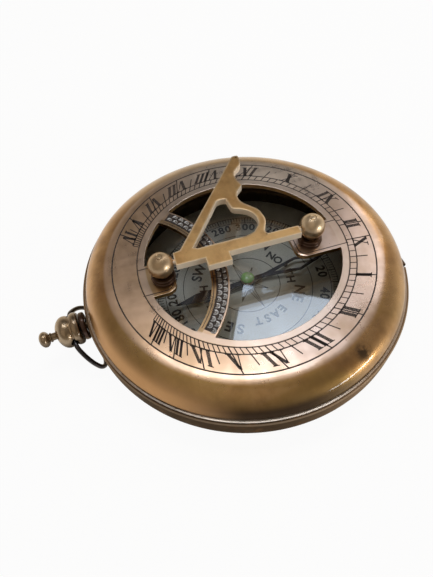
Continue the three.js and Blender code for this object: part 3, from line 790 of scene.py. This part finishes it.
MORNING_BEARINGS = [111.2, 135.7, 158.9, 181.8, 200.1, 217.1, 232.2, 242.1]
MORNING_HOURS = "XI X IX VIII VII VI V IV".split()
EVENING_HOURS = "I II III IV V VI VII VIII".split()


def numeral_strokes(word):
    """Strokes of a Roman numeral of height 1: start, end and width of each, and the whole width."""
    strokes = []
    pen = 0.0
    light, serif = 0.076, 0.065
    foot, head = 0.03, 0.97
    low, high = 0.02, 0.98
    hatch = (-0.085, 0.0, 0.085)
    for letter in word:
        if letter == "I":
            strokes += [((pen + 0.2 + x, low), (pen + 0.2 + x, high), light) for x in hatch]
            strokes += [((pen, y), (pen + 0.4, y), serif) for y in (foot, head)]
            pen += 0.44
        elif letter == "V":
            strokes += [((pen + 0.2 + x, high), (pen + 0.48 + x, low), light) for x in hatch]
            strokes += [((pen + 0.8, high), (pen + 0.52, low), light)]
            strokes += [((pen + a, head), (pen + b, head), serif) for a, b in ((0.0, 0.4), (0.64, 0.96))]
            pen += 0.98
        else:
            strokes += [((pen + 0.18 + x, high), (pen + 0.68 + x, low), light) for x in hatch]
            strokes += [((pen + 0.7, high), (pen + 0.18, low), light)]
            strokes += [((pen + a, y), (pen + b, y), serif)
                        for y in (foot, head) for a, b in ((0.0, 0.36), (0.52, 0.88))]
            pen += 0.9
    return strokes, pen - 0.04


class HourFan:
    """Hour lines that spread from a foot, on one side of the noon gap."""

    def __init__(self, side, distance, gap):
        self.foot = Vector(polar(distance, NOON + 180)) + Vector(polar(gap * side, NOON + 90))

    def meets(self, direction, radius):
        """Where a line from the foot meets a circle round the centre."""
        ahead = Vector(polar(1.0, direction))
        along = self.foot.dot(ahead)
        far = -along + math.sqrt(along ** 2 + radius ** 2 - self.foot.length_squared)
        return tuple(self.foot + ahead * far)

    def line(self, shape, direction, radii, width, heights):
        bar(shape, self.meets(direction, radii[0]), self.meets(direction, radii[1]), width, *heights)


def fans(distance, gap, radius):
    """Both fans, each with its hours as numeral and line direction, from noon outwards."""
    evening = HourFan(-1, distance, gap)
    morning = HourFan(1, distance, gap)
    later = [("", NOON)] + [(word, NOON - 15 * (i + 1)) for i, word in enumerate(EVENING_HOURS)]
    earlier = [("", NOON)]
    for word, place in zip(MORNING_HOURS, MORNING_BEARINGS):
        earlier.append((word, bearing(polar(radius, place), morning.foot) % 360))
    return (evening, later), (morning, earlier)


class COMPASS_OT_engraving(bpy.types.Operator):
    """Cuts the hour lines, circles, numerals and tongue borders into the lid"""

    bl_idname = "compass.engraving"
    bl_label = "Engraving"

    def execute(self, context):
        sizes = context.scene.engraving_sizes
        top = context.scene.case_sizes.case_height / MM
        low, high = top - sizes.depth / MM, top + INK_LIFT
        circles = (sizes.inner_circle, sizes.hour_circle, sizes.outer_circle)
        inner, hour, outer = (value / MM for value in circles)
        width, tall = sizes.line_width / MM, sizes.numeral_height / MM
        middle = hour + tall / 2
        sides = fans(sizes.foot / MM, sizes.noon_gap / MM, middle)

        def ring(radius, thick, start=0.0, sweep=360.0):
            steps = max(8, round(abs(sweep) / 2))
            return tube(radius - thick / 2, radius + thick / 2, low, high, steps, start, sweep)

        ends = [bearing(fan.meets(listed[-1][1] + (listed[-1][1] - listed[-2][1]) / 2, hour))
                for fan, listed in sides]
        lines = merged(ring(outer - 0.2, 0.3), ring(inner, 0.26),
                       ring(hour, 0.26, ends[0], (ends[1] - ends[0]) % 360))
        for fan, listed in sides:
            self.hour_lines(lines, fan, [way for _, way in listed], (inner, hour, outer), width, (low, high))
        for end, side in TONGUE_ENDS:
            rounded = tongue(end, side, inner, 0.75)[1:-1]
            border = [(rounded[0][0], side * 23.9), *rounded, (rounded[-1][0], side * 23.9)]
            for start, stop in zip(border, border[1:]):
                bar(lines, start, stop, 0.22, low, high)
        shown(lines, "engraved_lines", "lid", "soot", (), 30)

        numerals = []
        for (fan, listed), noon_word, noon_place in zip(sides, ("X", "II"), (78.0, 90.2)):
            marks = [(noon_word, polar(middle, noon_place), NOON)]
            marks += [(word, fan.meets(way, middle), way) for word, way in listed[1:]]
            for i, (word, place, way) in enumerate(marks):
                beside = [Vector(marks[k][1]) - Vector(place) for k in (i - 1, i + 1) if 0 <= k < len(marks)]
                room = 0.74 * min(gap.length for gap in beside)
                numerals.append(self.numeral(word, tall, room, place, way, low, high))
        shown(merged(*numerals), "hour_numerals", "lid", "soot", (), 30)
        return {"FINISHED"}

    @staticmethod
    def hour_lines(lines, fan, ways, circles, width, heights):
        """Every hour line of a fan, with the finer marks of its halves and sixths."""
        inner, hour, outer = circles
        ways = [*ways, ways[-1] + (ways[-1] - ways[-2])]
        for count, (here, ahead) in enumerate(zip(ways, ways[1:])):
            turn = (ahead - here) / 6
            fan.line(lines, here, (inner, outer - 0.3), width, heights)
            whole = count < len(ways) - 2
            for tick in range(1, 6 if whole else 4):
                fan.line(lines, here + turn * tick, (inner, hour), width * 0.8, heights)
            if whole:
                fan.line(lines, here + turn * 3, (hour, hour + 0.55 * (outer - hour)), width * 0.9, heights)

    @staticmethod
    def numeral(word, tall, room, place, way, low, high):
        """One numeral with its foot outwards and its strokes along the hour line."""
        strokes, wide = numeral_strokes(word)
        mark = bmesh.new()
        squeeze = min(1.0, room / (wide * tall)) * tall
        for *ends, thick in strokes:
            start, end = (((x - wide / 2) * squeeze, (y - 0.5) * tall) for x, y in ends)
            bar(mark, start, end, thick * tall, low, high)
        x, y = place
        outwards = Vector(place).normalized()
        along = Vector(polar(1.0, way))
        up = -along / along.dot(outwards)
        return moved(mark, Matrix(((-outwards.y, up.x, 0, x * MM), (outwards.x, up.y, 0, y * MM),
                                   (0, 0, 1, 0), (0, 0, 0, 1))))


class COMPASS_OT_band(bpy.types.Operator):
    """Lays the black strip of rings and the edge line on the crescent band"""

    bl_idname = "compass.band"
    bl_label = "Band ornament"

    def execute(self, context):
        top = context.scene.case_sizes.case_height / MM
        start, end, pitch = 46.5, 138.5, 4.1
        for name, inner, outer in (("band_ground", 22.35, 24.95), ("band_line", 21.75, 21.9)):
            strip = tube(inner, outer, top - 0.05, top + INK_LIFT, 60, start, end - start)
            shown(moved(strip, shift(*BAND_HEART, 0)), name, "lid", "soot", (), 30)
        rings = []
        for i in range(int((end - start) / pitch * 2) + 1):
            place = start + 1.2 + i * pitch / 2
            if place > end - 1:
                break
            petal = [(0.26, top), (0.68, top), (0.62, top + 0.08), (0.34, top + 0.08)]
            stud = [(0, top + 0.05), (0.16, top + 0.04), (0.22, top)]
            curled = merged(spun(petal, 14, True, place - 120, 240), spun(stud, 10))
            rings.append(moved(curled, shift(*polar(23.05 if i % 2 else 24.25, place, BAND_HEART), 0.0)))
        shown(merged(*rings), "band_rings", "lid", "petal", (), 50)
        return {"FINISHED"}


# Gnomon and its posts

BACK = [(0.06, 0.74), (0.15, 0.89), (0.22, 0.89), (0.29, 0.82), (0.35, 0.64), (0.42, 0.43), (0.49, 0.39),
        (0.55, 0.46)]
BEAK = [(0.61, 0.68), (0.69, 0.6), (0.76, 0.6), (0.81, 0.7), (0.865, 0.92), (0.93, 1.0), (0.985, 0.99)]
HOLE = [(0.49, 0.01), (0.4, 0.05), (0.365, 0.13), (0.34, 0.32), (0.3, 0.52), (0.245, 0.65),
        (0.18, 0.68), (0.13, 0.62), (0.07, 0.42)]


class COMPASS_OT_gnomon(bpy.types.Operator):
    """Builds the folding gnomon"""

    bl_idname = "compass.gnomon"
    bl_label = "Gnomon"

    def execute(self, context):
        reach, back, slope = 27.8, 7.4, math.radians(52.6)
        hinge_post, crown_post = (place for _, place, _ in POST_PLACES)
        start, end = crown_post + 3.15, hinge_post - 3.15

        def spot(share):
            return (-share[0] * reach, share[1] * back)

        def style(away, inset=0.0):
            return (-away, -15.3 + away / math.tan(slope) + inset / math.sin(slope))

        outline = [(1.7, start), (1.7, -9), (4.05, -9), (4.05, -3.7), (1.7, -3.7), (1.7, end), (-0.5, end)]
        outline += through([(-0.5, BACK[0][1] * back + 0.3), *map(spot, BACK)])
        outline += through([spot(share) for share in BEAK], 3)
        outline += curl(outline[-1], spot((1, 0.99)), style(reach - 0.15), 3)
        outline += [style(2.0), (-1.7, start)]
        foot, apex = style(1.8, 2.4), style(0.49 * reach, 2.0)
        lean = (spot((0.51, 0))[0], (apex[1] + spot(HOLE[0])[1]) / 2)
        hole = [foot, apex] + curl(apex, lean, spot(HOLE[0]))
        hole += through([spot(share) for share in HOLE])[1:]
        hole += curl(spot(HOLE[-1]), (-1.3, HOLE[-1][1] * back / 2), (-1.3, 0))
        hole.append((-1.3, foot[1] + 1.0))
        shape = plate(outline, [hole], -0.85, 0.85)
        softened(shape, 0.3, 3)
        rubbed(shape, 0.5)
        pins = [moved(tube(0, 0.65, low, high, 24), turned(-90, "X"))
                for low, high in ((start - 1.6, start + 1.5), (end - 1.5, end + 1.6))]
        shape = moved(merged(shape, *pins), shift(CUTOUT_SHIFT, 0, LID_TOP + PIN_HEIGHT))
        shown(shape, "gnomon_plate", "gnomon", "gnomon", ["gnomon"], 45)
        return {"FINISHED"}


class COMPASS_OT_posts(bpy.types.Operator):
    """Builds the two ball topped posts and their washers"""

    bl_idname = "compass.posts"
    bl_label = "Posts"

    def execute(self, context):
        radius, neck, dimple = 2.85, 1.6, 0.8
        ball = ellipse((0, PIN_HEIGHT), radius, radius, -90 + math.degrees(math.asin(neck / radius)),
                       math.degrees(math.acos(dimple / radius)), 24)
        lip = ball[-1][1]
        post = [(0, -2.3), (1.7, -2.3), (2.0, -2.1), (2.0, -1.5), (1.2, -1.5), (1.2, 1.7), (neck, 1.7),
                *ball, (0.7, lip - 0.16), (0.5, lip - 0.16), (0.42, lip - 0.02), (0, lip + 0.03)]
        disc = [(1.5, 0.05), (2.75, 0.05), (2.75, 0.45), (2.5, 0.6), (2.62, 0.75), (2.62, 1.2), (2.4, 1.4),
                (1.5, 1.4)]
        for end, place, side in POST_PLACES:
            seat = shift(CUTOUT_SHIFT, place, LID_TOP)
            bore = moved(tube(0, 0.95, 1.2, 5, 24), shift(0, 0, PIN_HEIGHT) @ turned(-90 * side, "X"))
            shape = moved(combined(spun(post, 72), "DIFFERENCE", bore), seat)
            shown(shape, f"ball_post_{end}", "lid", "ball", [f"gnomon_post_{end}"], 30)
            washer = spun(disc, 72, True)
            softened(washer, 0.07, 2, 30)
            shown(moved(washer, seat), f"washer_{end}", "lid", "dark", [f"post_washer_{end}"])
        return {"FINISHED"}


# Pendant, button and bow

class COMPASS_OT_pendant(bpy.types.Operator):
    """Builds the pendant, its collar, the push button and the bow"""

    bl_idname = "compass.pendant"
    bl_label = "Pendant and bow"

    def execute(self, context):
        throat = 1.15
        collar = tube(throat, 3.2, 38.3, 39.4, 64)
        softened(collar, 0.3, 3)
        shown(on_crown(collar), "neck_collar", "base", "dark", ["pendant_collar"])
        bead = ellipse((3.25, 40.575), 0.5, 0.87, -90, 90, 14)
        onion = ellipse((0, 42.85), 3.7, 2.45, 0, 64, 16)
        shape = spun([(throat, 39.7), *bead, (3.15, 41.46), (3.15, 41.84), (3.4, 41.86), (3.62, 42.3),
                      *onion, (throat, 45.05)], 96, True)
        holes = [moved(tube(0, 0.9, 2.2, 6, 24), shift(0, 0, BOW_AXIS) @ turned(90 * side, "Y"))
                 for side in (-1, 1)]
        shape = combined(shape, "DIFFERENCE", *holes)
        shown(on_crown(shape), "onion_pendant", "base", "pendant", ["pendant"])
        head = ellipse((0, 47.9), 1.82, 1.2, -62, 90, 18)
        rod = 0.85
        stem = spun([(0, 33.9), (rod, 33.9), (rod, 35.2), (1.4, 35.2), (1.4, 36.0), (rod, 36.0), (rod, 46.2),
                     (1.08, 46.35), (1.08, 46.55), (0.9, 46.7), *head], 64)
        shown(on_crown(stem), "button", "button", "pendant", ["push_button"])
        self.bow()
        return {"FINISHED"}

    @staticmethod
    def bow():
        """Draws a round wire along its route, one short length at a time."""
        wide, long, wire, hang = 8.4, 8.5, 0.52, 121
        shares = [(0.31, 0), (0.42, 0), (0.52, 0.02), (0.63, 0.09), (0.79, 0.26), (0.91, 0.44), (0.98, 0.61),
                  (1, 0.77), (0.92, 0.91), (0.74, 0.985), (0.4, 1)]
        half = [(across * wide, along * long) for across, along in shares]
        route = through([*half, (0, long), *((-x, y) for x, y in reversed(half))], 6)
        points = [Vector((x * MM, -y * MM, 0)) for x, y in route]
        shape = bmesh.new()
        ring = bmesh.ops.create_circle(shape, cap_ends=True, segments=16, radius=wire * MM)["verts"]
        ahead = (points[1] - points[0]).normalized()
        turn = Vector((0, 0, 1)).rotation_difference(ahead).to_matrix()
        bmesh.ops.rotate(shape, verts=ring, matrix=turn)
        bmesh.ops.translate(shape, verts=ring, vec=points[0])
        faces = list(shape.faces)
        for before, here, after in zip(points, points[1:], [*points[2:], points[-1]]):
            nearby = (after - before).normalized()
            grown = bmesh.ops.extrude_face_region(shape, geom=faces)
            faces, verts = only(bmesh.types.BMFace, grown), only(bmesh.types.BMVert, grown)
            bmesh.ops.translate(shape, verts=verts, vec=here - before)
            bend = ahead.rotation_difference(nearby).to_matrix()
            bmesh.ops.rotate(shape, verts=verts, cent=here, matrix=bend)
            ahead = nearby
        bmesh.ops.recalc_face_normals(shape, faces=shape.faces)
        place = turned(CROWN_TURN) @ shift(0, -BOW_AXIS, CROWN_HEIGHT) @ turned(hang, "X")
        shown(moved(shape, place), "bow_loop", "bow", "black", ["bow"], 50)


# Hinge and inner parts

class COMPASS_OT_hinge(bpy.types.Operator):
    """Builds the hinge knuckles and pin"""

    bl_idname = "compass.hinge"
    bl_label = "Hinge"

    def execute(self, context):
        axis = shift(0, 35.0, 9.75) @ turned(90, "Y")
        runs = (("left", "base", -12.0, -4.8), ("lid", "lid", -4.5, 4.5), ("right", "base", 4.8, 12.0))
        for name, body, start, end in runs:
            knuckle = tube(0.7, 0.95, start, end, 40)
            softened(knuckle, 0.08)
            shown(moved(knuckle, axis), f"knuckle_{name}", body, "dark", [f"hinge_knuckle_{name}"])
        pin = spun([(0, -12.0), (0.3, -12.0), (0.4, -11.9), (0.4, 11.9), (0.3, 12.0), (0, 12.0)], 32)
        shown(moved(pin, axis), "hinge_wire", "base", "steel", ["hinge_pin"])
        return {"FINISHED"}


class COMPASS_OT_works(bpy.types.Operator):
    """Gives the springs, pillars, screws, catch and pivot their finishes"""

    bl_idname = "compass.works"
    bl_label = "Catch and springs"

    def execute(self, context):
        plan = {"steel": ("lid_catch", "catch_spring", "catch_spring_screw", "lift_spring",
                          "lift_spring_screw"),
                "base": ("catch_spring_pillar", "lift_spring_pillar"), "ball": ("pivot_post",)}
        for finish, nodes in plan.items():
            for node in nodes:
                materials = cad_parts[node].data.materials
                materials.clear()
                materials.append(FINISHES[finish])
        return {"FINISHED"}


# Compass

LETTER_SCALE = 1.38
LETTER_WEIGHT = 0.11


def printed(text, height, place):
    """Flat lettering as a shape, centred at the origin and then placed."""
    curve = bpy.data.curves.new("letters", "FONT")
    curve.body = text
    curve.size = height * MM * LETTER_SCALE
    curve.align_x = "CENTER"
    curve.align_y = "CENTER"
    curve.offset = LETTER_WEIGHT * MM
    item = placed(curve, "letters")
    shape = bmesh.new()
    mesh = bpy.data.meshes.new_from_object(item.evaluated_get(bpy.context.evaluated_depsgraph_get()))
    shape.from_mesh(mesh)
    bpy.data.meshes.remove(mesh)
    bpy.data.objects.remove(item)
    bpy.data.curves.remove(curve)
    return moved(shape, place)


def round_card(text, radius, height, middle, spread):
    """Letters along a circle, tops outwards, centred on a bearing."""
    turns = [middle - (i - (len(text) - 1) / 2) * spread for i in range(len(text))]
    return [printed(letter, height, turned(turn) @ shift(radius, 0, 0) @ turned(-90))
            for letter, turn in zip(text, turns)]


class COMPASS_OT_card(bpy.types.Operator):
    """Builds the compass card and its printing"""

    bl_idname = "compass.card"
    bl_label = "Card"

    def execute(self, context):
        sizes = context.scene.compass_sizes
        top = sizes.card_height / MM
        face = moved(tube(1.5, sizes.card_radius / MM, top - 0.6, top, 120), shift(*CAPSULE_MIDDLE, 0))
        shown(face, "compass_card", "base", "card", ["dial_plate"])
        layer = (0, 0.01)
        shapes = []
        for word, turn in (("NORTH", 0), ("EAST", -90), ("SOUTH", -180), ("WEST", -270)):
            shapes += round_card(word, 10.9, 2.1, CARD_NORTH + turn, 12.0)
        for word, turn in (("NE", -45), ("SE", -135), ("SW", -225), ("NW", -315)):
            shapes += round_card(word, 12.9, 2.6, CARD_NORTH + turn, 12.0)
        for value in range(20, 361, 20):
            shapes += round_card(str(value), 19.1, 2.3, CARD_NORTH - value, 5.6)
        lines = bmesh.new()
        for i in range(180):
            turn = CARD_NORTH - 2 * i
            inner, width = (21.4, 0.16) if i % 5 else (20.9, 0.26)
            bar(lines, polar(inner, turn), polar(22.6, turn), width, *layer)
        half = 0.09
        shapes += [tube(radius - half, radius + half, *layer, 120) for radius in (8.2, 16.2, 20.8, 22.7)]
        for i in range(8):
            turn = CARD_NORTH + 45 * i
            tip = 5.4 if i % 2 else 7.8
            for side in (-1, 1):
                bar(lines, polar(tip, turn), polar(1.9, turn + 22.5 * side), 0.14, *layer)
            bar(lines, polar(2.0, turn), polar(tip, turn), 0.12, *layer)
        ink = moved(merged(*shapes, lines), shift(*CAPSULE_MIDDLE, top + INK_LIFT))
        shown(ink, "card_print", "base", "ink", (), 30)
        return {"FINISHED"}


class COMPASS_OT_capsule(bpy.types.Operator):
    """Builds the capsule ring, the glass and its retaining ring"""

    bl_idname = "compass.capsule"
    bl_label = "Capsule"

    def execute(self, context):
        glass = context.scene.compass_sizes.glass_height / MM
        middle = shift(*CAPSULE_MIDDLE, 0)
        lip, seat = 9.0, 6.7
        ring = spun([(29.6, 1.5), (31.3, 1.5), (31.3, lip), (30.6, lip), (30.6, seat), (29.6, seat)],
                    160, True)
        softened(ring, 0.12)
        shown(moved(ring, middle), "capsule_wall", "base", "capsule", ["capsule_ring"])
        retainer = tube(29.5, 30.3, 8.3, lip, 160, 93.0, 354.0)
        softened(retainer, 0.12)
        shown(moved(retainer, middle), "split_ring", "base", "capsule", ["glass_retainer"])
        pane = tube(0, 30.2, glass - 1.0, glass, 128)
        softened(pane, 0.1)
        shown(moved(pane, middle), "glass_pane", "base", "glass", ["cover_glass"])
        return {"FINISHED"}


class COMPASS_OT_needle(bpy.types.Operator):
    """Builds the needle, its hub and its cap"""

    bl_idname = "compass.needle"
    bl_label = "Needle"

    def execute(self, context):
        sizes = context.scene.compass_sizes
        reach, half, thick = sizes.needle_reach / MM, 2.1, 0.4
        arrow = [(0.07, 0.3), (0.21, 0.25), (0.63, 1), (1, 0)]
        plain = [(0.07, 0.3), (0.2, 0.3), (0.6, 0.6), (0.86, 0)]

        def end(shares, way):
            right = [(way * across * half, way * along * reach) for along, across in shares]
            left = [(-way * across * half, way * along * reach) for along, across in shares[-2::-1]]
            return right + left

        opening = [(across * half, along * reach)
                   for across, along in ((0, 0.31), (0.7, 0.63), (0, 0.87), (-0.7, 0.63))]
        blade = plate(end(arrow, 1) + end(plain, -1), [opening], 0, thick)
        softened(blade, 0.06)
        blade = combined(blade, "UNION", tube(0, 1.75, 0, thick, 48))
        blade = combined(blade, "DIFFERENCE", tube(0, 1.35, -1, 1, 48))
        hub = spun([(0, 0.95), (0.65, 0), (1.05, 0), (1.05, 0.7), (1.75, 0.7), (1.75, 1.2), (1.6, 1.3),
                    (0, 1.3)], 48)
        jewel = spun([(0, 1.6), *ellipse((0, 1.6), 1.65, 0.7, 0, 90, 10)], 48)
        place = shift(*CAPSULE_MIDDLE, 3.3) @ Matrix.Rotation(sizes.needle_heading - math.pi / 2, 4, "Z")
        shown(moved(blade, place), "needle_blade", "needle", "black", ["needle"])
        shown(moved(hub, place), "needle_bearing", "needle", "ball", ["needle_hub"])
        shown(moved(jewel, place), "needle_cap", "needle", "jewel", ["needle_jewel"])
        return {"FINISHED"}


# Stage

def panel_light(name, size, power, azimuth, elevation, distance, tint=(1.0, 1.0, 1.0)):
    """Soft panel that looks at the compass from a direction given in degrees."""
    data = bpy.data.lights.new(name, "AREA")
    data.shape = "RECTANGLE"
    data.size, data.size_y = size
    data.energy = power
    data.color = tint
    lamp = placed(data, name)
    back = direction(azimuth, elevation)
    lamp.location = back * distance
    lamp.rotation_euler = back.to_track_quat("Z", "Y").to_euler()


class COMPASS_OT_stage(bpy.types.Operator):
    """Sets the floor, the lights and the camera"""

    bl_idname = "compass.stage"
    bl_label = "Stage"

    def execute(self, context):
        studio = context.scene.studio
        self.floor(studio)
        self.world(context)
        panel_light("window panel", (0.13, 0.11), studio.key_power, 150, 62.5, 0.55, (0.74, 0.85, 1.0))
        panel_light("ceiling panel", (0.3, 0.1), studio.ceiling_power, 165, 76, 0.55, (0.95, 0.97, 1.0))
        panel_light("back panel", (0.18, 0.32), studio.back_power, 126, 38, 0.6, (1.0, 0.95, 0.93))
        panel_light("strip panel", (0.3, 0.035), studio.strip_power, 42, 10, 0.6)
        panel_light("fill panel", (0.8, 0.8), studio.fill_power, -40, 55, 0.8, (1.0, 0.88, 0.74))
        self.camera(context)
        return {"FINISHED"}

    @staticmethod
    def floor(studio):
        shape = bmesh.new()
        bmesh.ops.create_grid(shape, x_segments=1, y_segments=1, size=3.0)
        mesh = meshed(shape, "floor")
        finish = Finish("floor")
        rays = [finish.node("LightPath", output=name)
                for name in ("Is Camera Ray", "Is Glossy Ray", "Is Transmission Ray")]
        seen = finish.maths("MINIMUM", rays[0] + rays[1] + rays[2], 1.0)
        paper = finish.node("BsdfDiffuse", {"Color": (*studio.floor, 1.0)})
        glow = finish.node("Emission", {"Color": (1.0, 1.0, 1.0, 1.0), "Strength": 1.0})
        sheet = finish.node("MixShader", {0: seen * 0.94, 1: paper, 2: glow})
        mesh.materials.append(finish.output(sheet))
        ground = placed(mesh, "floor")

    @staticmethod
    def world(context):
        """A room that is pale at the horizon, darker overhead and dark on the camera's side."""
        world = bpy.data.worlds.new("studio")
        context.scene.world = world
        world.use_nodes = True
        sky = Graph(world.node_tree, "Generated")
        shade = sky.node("ValToRGB", {"Fac": sky.split(sky.place)[2]})
        ramp = shade.socket.node.color_ramp
        ramp.elements.remove(ramp.elements[-1])
        ramp.elements[0].position = 0.0
        ramp.elements[0].color = (1.0, 0.97, 0.92, 1)
        for height, tone in ((0.22, (0.7, 0.66, 0.6, 1)), (0.55, (0.34, 0.3, 0.27, 1)),
                             (1.0, (0.32, 0.3, 0.28, 1))):
            ramp.elements.new(height).color = tone
        near_camera = sky.ease(sky.measure("DOT_PRODUCT", direction(-17, 15)), -0.2, 0.7)
        patch = sky.ease(sky.measure("DOT_PRODUCT", direction(162, 42)), 0.86, 0.97)
        shade = sky.layers(shade, (near_camera * 0.75, (0.2, 0.165, 0.12)), (patch, (0.1, 0.1, 0.1)))
        sky.end("World", sky.node("Background", {"Color": shade, "Strength": 1.0}))

    @staticmethod
    def camera(context):
        focal, picture_height, sensor = 430, 577, 36.0
        rise, distance = math.radians(51.05), 98.8524 * MM
        facing = Matrix.Rotation(math.radians(72.5), 3, "Z")
        back = Vector((0, -math.cos(rise), math.sin(rise)))
        right = Vector((1, 0, 0))
        level = Matrix((right, back.cross(right), back))
        aim = (turned(0.85) @ turned(4.78, "X") @ turned(-3.43, "Y")).to_3x3()
        place = facing @ (aim @ level).transposed()
        data = bpy.data.cameras.new("camera")
        data.sensor_width = sensor
        data.lens = focal * sensor / picture_height
        data.clip_start = 0.005
        view = placed(data, "camera")
        stand = facing @ back * distance + Vector((0, 0, LID_TOP * MM))
        view.matrix_world = Matrix.Translation(stand) @ place.to_4x4()
        context.scene.camera = view
        context.scene.view_settings.view_transform = "Standard"


class COMPASS_PT_panel(bpy.types.Panel):
    """Lists the steps that build the compass"""

    bl_idname = "COMPASS_PT_panel"
    bl_label = "Sundial Compass"
    bl_space_type = "VIEW_3D"
    bl_region_type = "UI"
    bl_category = "Compass"

    def draw(self, context):
        for step in STEPS:
            self.layout.operator(step.bl_idname)
        for group in GROUPS:
            settings = getattr(context.scene, group)
            for name in settings.__annotations__:
                self.layout.prop(settings, name)


GROUPS = {"case_sizes": CaseSizes, "engraving_sizes": EngravingSizes, "compass_sizes": CompassSizes,
          "brass_colours": BrassColours, "studio": StudioSettings}
STEPS = [COMPASS_OT_lid, COMPASS_OT_base, COMPASS_OT_engraving, COMPASS_OT_band, COMPASS_OT_gnomon,
         COMPASS_OT_posts, COMPASS_OT_pendant, COMPASS_OT_hinge, COMPASS_OT_works, COMPASS_OT_capsule,
         COMPASS_OT_card, COMPASS_OT_needle, COMPASS_OT_stage]


def register():
    for item in [*GROUPS.values(), *STEPS, COMPASS_PT_panel]:
        bpy.utils.register_class(item)
    for name, group in GROUPS.items():
        setattr(bpy.types.Scene, name, PointerProperty(type=group))


def unregister():
    for name in GROUPS:
        delattr(bpy.types.Scene, name)
    for item in reversed([*GROUPS.values(), *STEPS, COMPASS_PT_panel]):
        bpy.utils.unregister_class(item)


def main():
    register()
    FINISHES.update(build_finishes())
    for step in STEPS:
        group, name = step.bl_idname.split(".")
        getattr(getattr(bpy.ops, group), name)()


if __name__ == "__main__":
    main()
